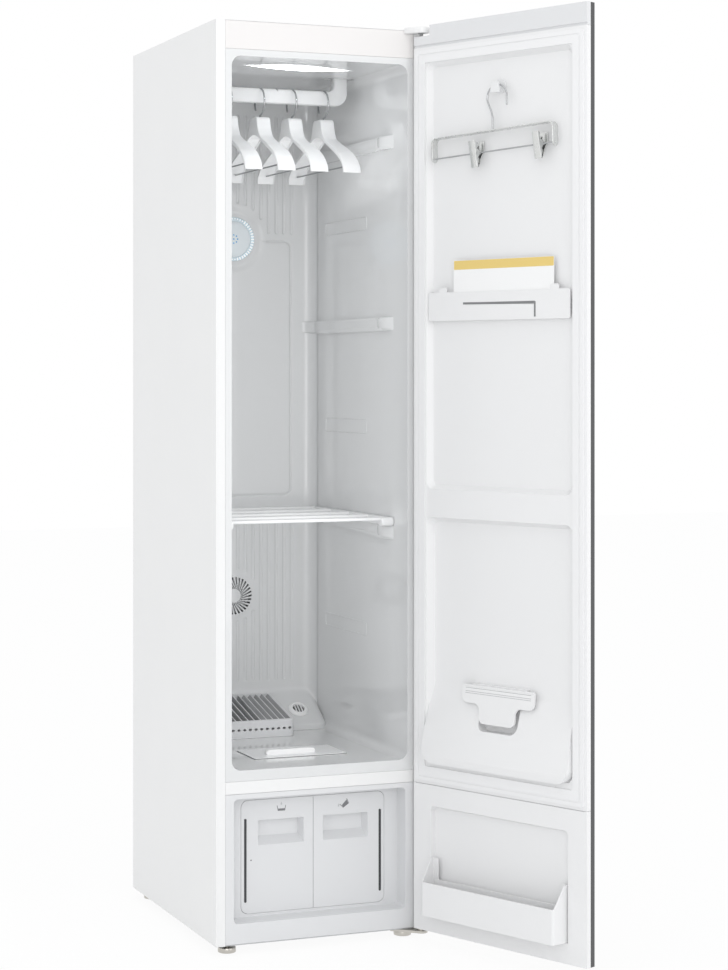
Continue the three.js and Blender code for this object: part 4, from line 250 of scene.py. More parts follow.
def finish(name, colour, roughness, metallic=0.0, coat=0.0, grain=400.0, depth=0.00002, mottle=0.006,
           patch=2.0, stretch=(1.0, 1.0, 1.0), specular=0.5, coat_rough=0.06, glow=None):
    """A surface with soft colour patches, uneven gloss, a fine moulded or brushed grain, and a glow."""
    material = bpy.data.materials.new(name)
    material.use_nodes = True
    nodes, links = material.node_tree.nodes, material.node_tree.links
    shader = nodes["Principled BSDF"]
    shader.inputs["Metallic"].default_value = metallic
    shader.inputs["Specular IOR Level"].default_value = specular
    shader.inputs["Coat Weight"].default_value = coat
    shader.inputs["Coat Roughness"].default_value = coat_rough
    place = nodes.new("ShaderNodeTexCoord")
    mapping = nodes.new("ShaderNodeMapping")
    mapping.inputs["Scale"].default_value = stretch
    links.new(place.outputs["Object"], mapping.inputs["Vector"])
    patches = noise(nodes, links, place.outputs["Object"], patch)
    blend = nodes.new("ShaderNodeMix")
    blend.data_type = "RGBA"
    blend.inputs["A"].default_value = (*(c * (1.0 - mottle) for c in colour), 1.0)
    blend.inputs["B"].default_value = (*(min(1.0, c * (1.0 + mottle)) for c in colour), 1.0)
    links.new(spread(nodes, links, patches, 0.0, 1.0), blend.inputs["Factor"])
    links.new(blend.outputs["Result"], shader.inputs["Base Color"])
    uneven = noise(nodes, links, mapping.outputs["Vector"], patch * 5.0)
    links.new(spread(nodes, links, uneven, roughness * 0.9, roughness * 1.1), shader.inputs["Roughness"])
    bump = nodes.new("ShaderNodeBump")
    bump.inputs["Distance"].default_value = depth
    bump.inputs["Strength"].default_value = 0.5
    links.new(noise(nodes, links, mapping.outputs["Vector"], grain, 3.0), bump.inputs["Height"])
    links.new(bump.outputs["Normal"], shader.inputs["Normal"])
    if glow:
        shader.inputs["Emission Color"].default_value = (*glow[0], 1.0)
        shader.inputs["Emission Strength"].default_value = glow[1]
    looks[name] = material


looks = {}
finish("case_white", (0.85, 0.85, 0.848), 0.36, coat=0.08, grain=900.0, mottle=0.003)
finish("liner_grey", (0.742, 0.749, 0.753), 0.10, coat=0.5, grain=30.0, depth=0.000006, coat_rough=0.03)
finish("plastic_white", (0.83, 0.835, 0.84), 0.32, coat=0.1)
finish("plastic_grey", (0.74, 0.745, 0.755), 0.4)
finish("mirror_glass", (0.09, 0.092, 0.095), 0.06, metallic=0.85, coat=0.6, depth=0.000004)
finish("nickel", (0.56, 0.54, 0.50), 0.3, metallic=1.0, stretch=(1.0, 1.0, 14.0))
finish("chrome", (0.50, 0.51, 0.52), 0.07, metallic=1.0, depth=0.000004)
finish("gasket", (0.85, 0.85, 0.855), 0.42, grain=250.0)
finish("lamp_lens", (0.93, 0.95, 0.97), 0.3, glow=((0.95, 0.98, 1.0), LAMP_GLOW))
finish("dark_metal", (0.06, 0.06, 0.065), 0.45, metallic=0.4, mottle=0.05)
finish("zinc_steel", (0.50, 0.51, 0.52), 0.42, metallic=0.9, mottle=0.12, patch=40.0)
finish("circuit_board", (0.03, 0.14, 0.07), 0.45, mottle=0.15, patch=60.0)

finish("beam_white", (0.82, 0.80, 0.79), 0.34, coat=0.1, grain=900.0)
finish("door_white", (0.835, 0.835, 0.838), 0.34, coat=0.1, mottle=0.002)
finish("hanger_white", (0.80, 0.805, 0.81), 0.35)
finish("satin_metal", (0.72, 0.73, 0.72), 0.28, metallic=1.0, stretch=(18.0, 18.0, 1.0))
# Dark of the tanks' gauges, also painted shade in the steam outlet's opening, between the clips' jaws and round the
# tanks
finish("gap_shade_and_gauge_dark", (0.045, 0.045, 0.05), 0.35, mottle=0.05)
finish("rod_grey", (0.30, 0.31, 0.32), 0.3, metallic=0.8)
finish("shadow_grey", (0.22, 0.225, 0.23), 0.5, mottle=0.03)
finish("label_white", (0.91, 0.91, 0.91), 0.45, grain=1500.0)
finish("band_yellow", (0.80, 0.60, 0.20), 0.45, grain=1500.0)
# Grey of the hinge's pin and washer, also painted shade on the grille's fins
finish("slot_shade_and_pin_grey", (0.36, 0.365, 0.37), 0.35, mottle=0.05)
finish("line_grey", (0.50, 0.50, 0.51), 0.4)
finish("icon_grey", (0.20, 0.20, 0.21), 0.4)
finish("icon_light", (0.55, 0.56, 0.57), 0.4)
finish("ring_glow", (0.86, 0.88, 0.90), 0.3, glow=((0.86, 0.95, 1.0), RING_GLOW))
finish("ring_lens", (0.70, 0.79, 0.84), 0.25, glow=((0.70, 0.88, 1.0), 0.05))
finish("ring_face", (0.78, 0.82, 0.84), 0.3, glow=((0.75, 0.90, 1.0), FACE_GLOW))
finish("dot_glow", (0.12, 0.36, 0.62), 0.3, glow=((0.20, 0.55, 0.90), DOT_GLOW))

# Places on the cabinet, on the open door and on the tilted trouser hanger
MM = 0.001
CABINET = Matrix.Translation(FRONT_CENTRE) @ Matrix.Scale(MM, 4)
hinge = next(joint for joint in record["behaviour"]["joints"] if joint["name"] == "door_hinge")
DOOR_OPEN = radians(-hinge["range_deg"][0])
PIVOT = Matrix.Translation((HINGE_X, HINGE_Y, 0.0))
DOOR = CABINET @ PIVOT @ Matrix.Rotation(DOOR_OPEN, 4, "Z") @ PIVOT.inverted()
CLIP_PIVOT = Matrix.Translation((0.0, 0.0, CLIP_TOP))
CLIP = DOOR @ CLIP_PIVOT @ Matrix.Rotation(CLIP_TILT, 4, "Y") @ CLIP_PIVOT.inverted()

SHARP_DEGREES = 32.0


def add_object(name, mesh):
    piece = bpy.data.objects.new(name, mesh)
    bpy.context.scene.collection.objects.link(piece)
    return piece


def dress(piece, node, look=None, stands_for=True):
    """piece moves with a node's body, takes the look or its finish, and stands for it unless it only adds to it."""
    if not piece.data.materials:
        piece.data.materials.append(looks[look or slot_of[node]])
    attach(piece, body_of[node])
    if stands_for:
        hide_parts(node)
    return piece


def adds(piece, node, look=None):
    return dress(piece, node, look, stands_for=False)


def made(name, verts, faces, at=CABINET, smooth=True, sharp=SHARP_DEGREES):
    """An object from points in millimetres and their faces, turned to face out."""
    mesh = bpy.data.meshes.new(name)
    mesh.from_pydata([at @ Vector(v) for v in verts], [], faces)
    form = bmesh.new()
    form.from_mesh(mesh)
    bmesh.ops.remove_doubles(form, verts=form.verts, dist=0.000005)
    bmesh.ops.recalc_face_normals(form, faces=form.faces)
    form.to_mesh(mesh)
    form.free()
    if smooth:
        mesh.shade_smooth()
        mesh.set_sharp_from_angle(angle=radians(sharp))
    return add_object(name, mesh)


def round_edges(piece, width, segments=3, degrees=SHARP_DEGREES):
    bevel = piece.modifiers.new("round", "BEVEL")
    bevel.width = width
    bevel.segments = segments
    bevel.limit_method = "ANGLE"
    bevel.angle_limit = radians(degrees)
    bevel.miter_outer = "MITER_ARC"
    bevel.use_clamp_overlap = True
    normals = piece.modifiers.new("normals", "WEIGHTED_NORMAL")
    normals.keep_sharp = True
    return piece


def skin(rings, closed=True, caps=True):
    """Faces between equal rings of points, with the first and last ring closed."""
    verts = [p for ring in rings for p in ring]
    count = len(rings[0])
    faces = []
    span = count if closed else count - 1
    for k in range(len(rings) - 1):
        for i in range(span):
            a = k * count + i
            b = k * count + (i + 1) % count
            faces.append((a, b, b + count, a + count))
    if caps:
        faces.append(tuple(range(count - 1, -1, -1)))
        last = (len(rings) - 1) * count
        faces.append(tuple(range(last, last + count)))
    return verts, faces


def skinned(name, rings, at=CABINET, sharp=SHARP_DEGREES, closed=True, caps=True):
    """An object from a skin over rings of points."""
    verts, faces = skin(rings, closed, caps)
    return made(name, verts, faces, at, sharp=sharp)


def through(points, steps):
    """A smooth path through the points."""
    path = []
    ends = [points[0] * 2 - points[1], *points, points[-1] * 2 - points[-2]]
    for k in range(1, len(ends) - 2):
        p0, p1, p2, p3 = ends[k - 1:k + 3]
        for i in range(steps):
            t = i / steps
            path.append(0.5 * ((2 * p1) + (p2 - p0) * t + (2 * p0 - 5 * p1 + 4 * p2 - p3) * t * t
                               + (3 * p1 - p0 - 3 * p2 + p3) * t ** 3))
    path.append(points[-1].copy())
    return path


def tube_rings(path, radius, sides=16, round_ends=True):
    """Rings round a path, kept from twisting, with domed ends."""
    rings = []
    tangent = (path[1] - path[0]).normalized()
    side = tangent.orthogonal().normalized()
    stops = []
    for k, point in enumerate(path):
        ahead = path[min(k + 1, len(path) - 1)] - path[max(k - 1, 0)]
        stops.append((point, ahead.normalized(), radius))
    if round_ends:
        lead = [(path[0] - stops[0][1] * radius * a, stops[0][1], radius * b) for a, b in
                ((0.95, 0.3), (0.7, 0.7), (0.35, 0.93))]
        tail = [(path[-1] + stops[-1][1] * radius * a, stops[-1][1], radius * b) for a, b in
                ((0.35, 0.93), (0.7, 0.7), (0.95, 0.3))]
        stops = lead + stops + tail
    for point, ahead, size in stops:
        side = (side - ahead * side.dot(ahead)).normalized()
        up = ahead.cross(side)
        rings.append([point + (side * cos(a) + up * sin(a)) * size
                      for a in (2 * pi * i / sides for i in range(sides))])
    return rings


def tube(name, points, radius, at=CABINET, steps=8, sides=16):
    return skinned(name, tube_rings(through([Vector(p) for p in points], steps), radius, sides), at, 60.0)


def lathe(name, profile, place, axis, at=CABINET, sides=64, sharp=SHARP_DEGREES):
    """A profile of (radius, height) turned about an axis through place."""
    verts, faces = [], []
    to_axis = Vector((0, 0, 1)).rotation_difference(Vector(axis)).to_matrix()
    for radius, height in profile:
        for i in range(sides):
            a = 2 * pi * i / sides
            verts.append(Vector(place) + to_axis @ Vector((radius * cos(a), radius * sin(a), height)))
    for k in range(len(profile) - 1):
        for i in range(sides):
            a, b = k * sides + i, k * sides + (i + 1) % sides
            faces.append((a, b, b + sides, a + sides))
    faces.append(tuple(range(sides)))
    faces.append(tuple(range((len(profile) - 1) * sides, len(profile) * sides)))
    return made(name, verts, faces, at, sharp=sharp)


def slab(name, outline, lo, hi, axis, at=CABINET, sharp=SHARP_DEGREES):
    """An outline of two coordinates drawn along the third axis from lo to hi."""
    order = {"X": lambda a, b, c: (c, a, b), "Y": lambda a, b, c: (a, c, b), "Z": lambda a, b, c: (a, b, c)}[axis]
    rings = [[order(a, b, c) for a, b in outline] for c in (lo, hi)]
    return skinned(name, rings, at, sharp)


def round_rect(a0, a1, b0, b1, corner, steps=6):
    points = []
    for ca, cb, start in ((a1 - corner, b0 + corner, -90), (a1 - corner, b1 - corner, 0),
                          (a0 + corner, b1 - corner, 90), (a0 + corner, b0 + corner, 180)):
        for i in range(steps + 1):
            turn = radians(start + 90.0 * i / steps)
            points.append((ca + corner * cos(turn), cb + corner * sin(turn)))
    return points


def smooth_min(a, b, width):
    mix = max(0.0, min(1.0, 0.5 + 0.5 * (b - a) / width))
    return b * (1 - mix) + a * mix - width * mix * (1 - mix)


def ease(value):
    value = max(0.0, min(1.0, value))
    return value * value * (3 - 2 * value)


def ramp_ends(form):
    """The copy's support bars start as ramps off the wall, where the solids start with a square end."""
    place = CABINET.inverted() @ frame["nodes"]["cavity_liner"].matrix_world
    back = place.inverted()
    for vert in form.verts:
        spot = place @ vert.co
        if abs(spot.y - 72.0) < 0.5 and 175.0 < abs(spot.x) < 178.0 and spot.z > 780.0:
            vert.co = back @ Vector((math.copysign(CAVITY_HALF - 0.2, spot.x), spot.y, spot.z))


def rounded_copy(node, width, look):
    """The node's own solid, with a width also with its triangles joined into faces and its sharp edges rounded."""
    form = bmesh.new()
    form.from_mesh(frame["nodes"][node].data)
    bmesh.ops.remove_doubles(form, verts=form.verts, dist=0.00002)
    if width:
        bmesh.ops.dissolve_limit(form, angle_limit=radians(0.6), verts=form.verts, edges=form.edges)
    if node == "cavity_liner":
        ramp_ends(form)
    mesh = bpy.data.meshes.new(node + "_form")
    form.to_mesh(mesh)
    form.free()
    if "custom_normal" in mesh.attributes:
        mesh.attributes.remove(mesh.attributes["custom_normal"])
    mesh.materials.clear()
    mesh.shade_smooth()
    mesh.set_sharp_from_angle(angle=radians(SHARP_DEGREES))
    piece = add_object(node + "_form", mesh)
    if width:
        round_edges(piece, width, 2)
    return dress(piece, node, look)


# Back wall: flutes, dish of the ring light, inset panel and plinth in one surface
def steps_between(stops):
    """Values through each (from, to, step) stretch."""
    values = []
    for low, high, step in stops:
        count = max(1, round((high - low) / step))
        values += [low + (high - low) * i / count for i in range(count)]
    return values + [stops[-1][1]]


def flute_mark(x, z):
    """How deep the flutes are cut here, from 0 to 1."""
    k = abs(x) / FLUTE_PITCH
    centre = (math.floor(k) + 0.5) * FLUTE_PITCH
    if math.floor(k) > 7:
        return 0.0
    across = abs(abs(x) - centre)
    if across > FLUTE_HALF * 1.15:
        return 0.0
    if z > 1300:
        foot = RING_Z + 13
        if centre < DISH_RADIUS:
            foot = max(foot, RING_Z + sqrt(DISH_RADIUS ** 2 - centre ** 2) + FLUTE_HALF)
        spans = [(foot, HIGH_FLUTE_TOP)]
    else:
        spans = [(LOW_FLUTE_FOOT, LOW_FLUTE_TOP)]
        if centre < FAN_CLEAR:
            rise = sqrt(FAN_CLEAR ** 2 - centre ** 2)
            spans = [(LOW_FLUTE_FOOT, FAN_Z - rise), (FAN_Z + rise, LOW_FLUTE_TOP)]
    for low, high in spans:
        beyond = max(low + FLUTE_HALF - z, z - high + FLUTE_HALF, 0.0)
        off = math.hypot(across, beyond)
        if off < FLUTE_HALF * 1.15:
            return 1.0 - ease((off / FLUTE_HALF - 0.68) / 0.42)
    return 0.0


def wall_depth(x, z):
    """Where the wall's surface stands, as a distance behind the cabinet's front plane."""
    depth = BACK_WALL
    ring = math.hypot(x, z - RING_Z)
    depth += FLUTE_DEPTH * flute_mark(x, z)
    inside = min(INSET_HALF - abs(x), z - INSET_FOOT, INSET_TOP - z)
    corner_x, corner_z = INSET_HALF - INSET_ROUND - abs(x), min(z - INSET_FOOT, INSET_TOP - z) - INSET_ROUND
    if corner_x < 0 and corner_z < 0:
        inside = INSET_ROUND - math.hypot(corner_x, corner_z)
    if abs(inside) < GROOVE / 2:
        along = (GROOVE / 2 - inside) / GROOVE
        depth += 2.0 * ease(along / 0.7) * (1.0 - ease((along - 0.78) / 0.22))
    if ring < DISH_RADIUS + 2:
        dish = BOWL_DEPTH * ease((DISH_RADIUS - ring) / (DISH_RADIUS - BOWL_RADIUS))
        if ring < BOWL_RADIUS:
            dish += 1.6 * ease((BOWL_RADIUS - ring) / (BOWL_RADIUS - RING_OUTER))
        depth = max(BACK_WALL + dish, min(depth, BACK_WALL + dish + 1.2))
    edge = CAVITY_HALF - 0.6 - abs(x)
    if edge < BACK_ROUND:
        lean = BACK_ROUND - edge
        depth = min(depth, BACK_WALL - BACK_ROUND + sqrt(max(0.0, BACK_ROUND ** 2 - lean ** 2)))
    if z < PLINTH_TOP + 12:
        if z < PLINTH_LIP:
            slope = PLINTH_FRONT
        else:
            slope = PLINTH_FRONT + (z - PLINTH_LIP) * (BACK_WALL - PLINTH_FRONT) / (PLINTH_TOP - PLINTH_LIP)
        slope = PLINTH_FRONT + sqrt((slope - PLINTH_FRONT) ** 2 + 9.0) - 3.0 * 0.4
        turn = abs(x) - (CAVITY_HALF - PLINTH_ROUND)
        if turn > 0:
            slope += PLINTH_ROUND - sqrt(max(0.0, PLINTH_ROUND ** 2 - turn ** 2))
        depth = smooth_min(depth, slope, 9.0)
    return depth


def back_wall():
    columns = []
    for k in range(-8, 9):
        middle = k * FLUTE_PITCH
        columns += [middle - 4.6, middle, middle + 4.6]
        centre = (k + 0.5) * FLUTE_PITCH
        if k < 8:
            columns += [centre + FLUTE_HALF * s for s in (-1.12, -0.98, -0.84, -0.7, 0.0, 0.7, 0.84, 0.98, 1.12)]
    half = CAVITY_HALF - 0.5
    columns += [s * (half - a) for s in (-1, 1)
                for a in (0, 0.6, 1.6, 3, 5, 7.5, 10, 13, 16, 19.5, 23, 27, 31, 36)]
    columns += [s * (INSET_HALF + a) for s in (-1, 1)
                for a in (-4, -3.2, -2.4, -1.6, -0.8, 0, 0.8, 1.6, 2.2, 2.7, 3.1, 3.5, 4.0)]
    columns = sorted(set(round(c, 2) for c in columns if abs(c) <= half))
    columns = [c for i, c in enumerate(columns) if i == 0 or c - columns[i - 1] > 0.25]
    rows = steps_between([
        (CAVITY_FLOOR + 0.3, 385, 1.5), (385, 452, 3), (452, 476, 1.2), (476, 585, 4), (585, 724, 1.5),
        (724, 824, 5), (824, 846, 1.2), (846, 866, 2), (866, 900, 1.0), (900, 1366, 8), (1366, 1530, 1.2),
        (1530, 1708, 8), (1708, 1730, 1.2), (1730, CAVITY_CEILING - 0.3, 4)])
    verts = [(x, wall_depth(x, z), z) for z in rows for x in columns]
    faces = []
    wide = len(columns)
    for r in range(len(rows) - 1):
        for c in range(wide - 1):
            x, z = (columns[c] + columns[c + 1]) / 2, (rows[r] + rows[r + 1]) / 2
            if math.hypot(x, z - FAN_Z) < FAN_RADIUS - 1.5 or math.hypot(x, z - RING_Z) < RING_OUTER - 1.5:
                continue
            if abs(x) < 81.0 and z < PLINTH_TOP - 4:
                continue
            faces.append((r * wide + c, r * wide + c + 1, (r + 1) * wide + c + 1, (r + 1) * wide + c))
    piece = made("back_wall", verts, faces, sharp=50.0)
    return dress(piece, "back_panel")


# Ring light: a frosted ring with a wreath of short bright marks round a white cover with blue dots
def ring_light():
    around, across = 180, 12
    rings = []
    for i in range(around + 1):
        a = 2 * pi * i / around
        ring = []
        for j in range(across + 1):
            share = j / across * 2 - 1
            radius = (RING_INNER + RING_OUTER) / 2 - 0.6 + share * (RING_OUTER - RING_INNER) / 2 * 0.92
            bulge = 2.0 * sqrt(max(0.0, 1 - share ** 2))
            ring.append((radius * cos(a), BACK_WALL + BOWL_DEPTH - bulge, RING_Z + radius * sin(a)))
        rings.append(ring)
    dress(skinned("ring_lens", rings, sharp=70.0, closed=False, caps=False), "ring_light_lens", "ring_lens")
    verts, faces = [], []
    marks = 46
    for k in range(marks):
        a = 2 * pi * k / marks
        ahead, side = Vector((cos(a), 0, sin(a))), Vector((-sin(a), 0, cos(a)))
        for radius, half, lift in ((RING_INNER + 2.2, 0.75, 1.3), (RING_INNER + 5.0, 0.95, 2.3),
                                   (RING_OUTER - 2.2, 1.1, 1.3)):
            for s in (-1, 1):
                spot = ahead * radius + side * s * half
                verts.append((spot.x, BACK_WALL + BOWL_DEPTH - lift, RING_Z + spot.z))
        base = k * 6
        faces += [(base, base + 1, base + 3, base + 2), (base + 2, base + 3, base + 5, base + 4)]
    wreath = made("ring_marks", verts, faces, smooth=False)
    thick = wreath.modifiers.new("thick", "SOLIDIFY")
    thick.thickness = 0.0006
    adds(wreath, "ring_light_lens", "ring_glow")
    profile = [(RING_INNER - 0.4, -BOWL_DEPTH - 2.0), (RING_INNER - 0.4, -BOWL_DEPTH + 0.4),
               (RING_INNER - 1.6, -BOWL_DEPTH + 1.2), (RING_INNER * 0.8, -BOWL_DEPTH + 1.9),
               (RING_INNER * 0.45, -BOWL_DEPTH + 2.5), (0.01, -BOWL_DEPTH + 2.8)]
    dress(lathe("ring_cover", profile, (0, BACK_WALL, RING_Z), (0, -1, 0), sides=96), "ring_light_cover", "ring_face")
    spots = [(0.0, 0.0)] + [(9 * cos(pi * k / 4), 9 * sin(pi * k / 4)) for k in range(8)]
    for k, (x, z) in enumerate(spots):
        dome = [(1.8, -1.0), (1.7, 0.1), (1.2, 0.5), (0.6, 0.7), (0.01, 0.75)]
        spot = lathe("ring_dot_%d" % k, dome, (x, BACK_WALL + 0.25, RING_Z + z), (0, -1, 0), sides=20)
        adds(spot, "ring_light_cover", "dot_glow")


# Hangers: one lofted channel each, its trouser rod and its bent hook
HANGER_PAIRS = (
    ((0.0, 0.0), (0.0, 0.30)), ((0.06, 0.0), (0.05, 0.305)), ((0.10, 0.0), (0.09, 0.315)),
    ((0.13, 0.022), (0.11, 0.322)), ((0.147, 0.07), (0.135, 0.332)), ((0.158, 0.13), (0.16, 0.343)),
    ((0.175, 0.2), (0.185, 0.355)), ((0.21, 0.28), (0.215, 0.372)), ((0.245, 0.335), (0.25, 0.395)),
    ((0.3, 0.38), (0.29, 0.425)), ((0.415, 0.445), (0.40, 0.492)), ((0.53, 0.5), (0.51, 0.557)),
    ((0.65, 0.575), (0.63, 0.625)), ((0.77, 0.65), (0.75, 0.70)), ((0.87, 0.745), (0.845, 0.775)),
    ((0.935, 0.83), (0.90, 0.835)), ((0.975, 0.905), (0.94, 0.895)), ((1.0, 1.0), (0.96, 1.0)),
)
HANGER_WIDTHS = ((0.0, 30.0), (0.3, 30.0), (0.41, 31.0), (0.53, 32.0), (0.65, 34.0), (0.77, 36.0), (0.87, 37.0),
                 (1.0, 38.0))


def between(table, value):
    for (a, va), (b, vb) in zip(table, table[1:]):
        if value <= b:
            return va + (vb - va) * ease((value - a) / (b - a))
    return table[-1][1]


def hanger_section(top, low, width, x0):
    """A channel open below: flat top with rounded corners, two flanges with thin edges."""
    height = (top - low).length
    corner = min(2.2, height * 0.3)
    half = width / 2
    wall = 1.5
    deep = 1.0 - min(0.62, 4.6 / height) if height < 12 else 0.2
    up = (top - low) / height
    marks = [(-half, 0.0), (-half, height * 0.4), (-half, height - corner)]
    for k in (1, 2, 3):
        turn = pi / 2 * k / 4
        marks.append((-half + corner * (1 - cos(turn)), height - corner * (1 - sin(turn))))
    marks += [(-half + corner, height), (-half * 0.4, height)]
    marks += [(-a, b) for a, b in reversed(marks)]
    hollow = height * (1 - deep)
    marks += [(half - wall, 0.0), (half - wall, hollow), (-half + wall, hollow), (-half + wall, 0.0)]
    return [(x0 + a, (low + up * b).x, (low + up * b).y) for a, b in marks]


def clothes_hanger(number):
    x0 = (number - 2.5) * HANGER_PITCH
    right = []
    tops = through([Vector((a * HANGER_HALF, NECK_TOP - b * HANGER_DROP)) for (a, b), _ in HANGER_PAIRS], 3)
    lows = through([Vector((a * HANGER_HALF, NECK_TOP - b * HANGER_DROP)) for _, (a, b) in HANGER_PAIRS], 3)
    for top, low in zip(tops, lows):
        right.append((top, low, between(HANGER_WIDTHS, top.x / HANGER_HALF)))
    rings = []
    for side, shoulder in ((-1, right[:0:-1]), (1, right)):
        for top, low, width in shoulder:
            t = Vector((BAR_Y + side * top.x, top.y))
            u = Vector((BAR_Y + side * low.x, low.y))
            rings.append(hanger_section(t, u, width, x0))
    dress(skinned("hanger_%d_shell" % number, rings, sharp=40.0), "clothes_hanger_%d" % number, "hanger_white")
    rod_z = NECK_TOP - HANGER_DROP + 16
    reach = HANGER_HALF * 0.935
    line = [(x0, BAR_Y - reach, rod_z), (x0, BAR_Y, rod_z), (x0, BAR_Y + reach, rod_z)]
    adds(tube("hanger_%d_rod" % number, line, 1.6, steps=2, sides=12), "clothes_hanger_%d" % number, "rod_grey")
    centre_z = BAR_TOP - 2 + 1.75 - 29
    points = [(x0, BAR_Y, NECK_TOP - 8), (x0, BAR_Y, NECK_TOP), (x0, BAR_Y - 1.75, NECK_TOP + 4)]
    for k in range(24):
        turn = pi * (1.38 - (1.38 + 0.16) * k / 23)
        points.append((x0, BAR_Y + 29 * cos(turn), centre_z + 29 * sin(turn)))
    dress(tube("hanger_%d_hook" % number, points, 1.9, steps=3, sides=16), "hanger_hook_%d" % number)


# Trouser hanger on the door's hook
def trouser_hanger():
    half, depth, thick, drop, outer_round = CLIP_HALF, 8.5, 2.6, 49.0, 12.0
    line = [(-half, -drop)]
    for k in range(7):
        line.append((-half, -drop + (drop - outer_round) * (k + 1) / 8))
    for k in range(13):
        turn = radians(180 - 90 * k / 12)
        line.append((-half + outer_round + outer_round * cos(turn),
                     -outer_round + outer_round * sin(turn)))
    line += [(-a, b) for a, b in reversed(line)]
    reach = [0.0]
    for (a, b), (c, d) in zip(line, line[1:]):
        reach.append(reach[-1] + math.hypot(c - a, d - b))
    rings = []
    for k, (x, z) in enumerate(line):
        ahead = (Vector(line[min(len(line) - 1, k + 1)]) - Vector(line[max(0, k - 1)])).normalized()
        normal = Vector((ahead.y, -ahead.x))
        from_end = min(reach[k], reach[-1] - reach[k])
        broad = depth if from_end > depth else max(1.2, sqrt(max(0.0, depth ** 2 - (depth - from_end) ** 2)))
        section = round_rect(-broad, broad, 0.0, thick, 0.9, 3)
        rings.append([(CLIP_SHIFT + x + normal.x * b, CLIP_Y + a, CLIP_BAR_Z + z + normal.y * b) for a, b in section])
    first, second = Vector(line[0]), Vector(line[1])
    for share in (0.55, 0.25, 0.08):
        from_end = (second - first).length * share
        broad = sqrt(max(0.0, depth ** 2 - (depth - from_end) ** 2))
        section = round_rect(-broad, broad, 0.0, thick, 0.9, 3)
        low = [(CLIP_SHIFT - half + b, CLIP_Y + a, CLIP_BAR_Z - drop + from_end) for a, b in section]
        rings.insert(1, low)
        rings.insert(-1, [(CLIP_SHIFT * 2 - p[0], p[1], p[2]) for p in low])
    dress(skinned("trouser_hanger_strip", rings, CLIP, 40.0), "clip_hanger_bar", "satin_metal")
    ends = [CLIP_SHIFT + s * (half + 0.2) for s in (-1, 1)]
    rod = tube("trouser_hanger_rod", [(x, CLIP_Y, CLIP_ROD_Z) for x in (ends[0], 0, ends[1])], 1.5, CLIP,
               steps=2, sides=12)
    dress(rod, "clip_hanger_rod", "zinc_steel")
    for side, x in zip((-1, 1), ends):
        stud = lathe("trouser_hanger_stud_%s" % ("left" if side < 0 else "right"),
                     [(2.6, 0.1), (2.6, 0.8), (2.0, 1.4), (0.01, 1.6)],
                     (x, CLIP_Y, CLIP_ROD_Z), (side, 0, 0), CLIP, sides=24)
        adds(stud, "clip_hanger_rod", "satin_metal")
    rise = CLIP_TOP - 25.0 - CLIP_BAR_Z
    path = [(13.5, -2.2), (13.5, 3.0), (13.3, 12.0), (13.2, 24.0), (15.6, 36.0), (21.0, 48.0), (24.6, 58.0)]
    path += [(25 * cos(radians(a)), rise + 25 * sin(radians(a))) for a in range(0, 181, 15)]
    path += [(-24.9, rise - 7), (-24.3, rise - 16.5)]
    hook = tube("trouser_hanger_hook", [(x, CLIP_Y, CLIP_BAR_Z + z) for x, z in path], 1.8, CLIP, steps=5, sides=18)
    dress(hook, "clip_hanger_hook")
    nut = lathe("trouser_hanger_nut", [(3.6, -0.2), (3.6, 0.5), (3.0, 1.1), (2.0, 1.2)],
                (CLIP_SHIFT, CLIP_Y, CLIP_BAR_Z + 0.2), (0, 0, 1), CLIP, sides=24)
    adds(nut, "clip_hanger_bar", "satin_metal")


def sheet(name, sections, thick, at=CLIP):
    """A pressed plate lofted through (y, z, half width) sections about x0, with rounded edges."""
    path = through([Vector(s[1:]) for s in sections], 3)
    x0 = sections[0][0]
    rings = []
    for k, point in enumerate(path):
        near = path[min(k + 1, len(path) - 1)] - path[max(k - 1, 0)]
        ahead = Vector((near.x, near.y)).normalized()
        normal = Vector((ahead.y, -ahead.x))
        section = round_rect(x0 - point.z, x0 + point.z, -thick / 2, thick / 2, thick * 0.45, 3)
        rings.append([(a, point.x + normal.x * b, point.y + normal.y * b) for a, b in section])
    return skinned(name, rings, at, 40.0)


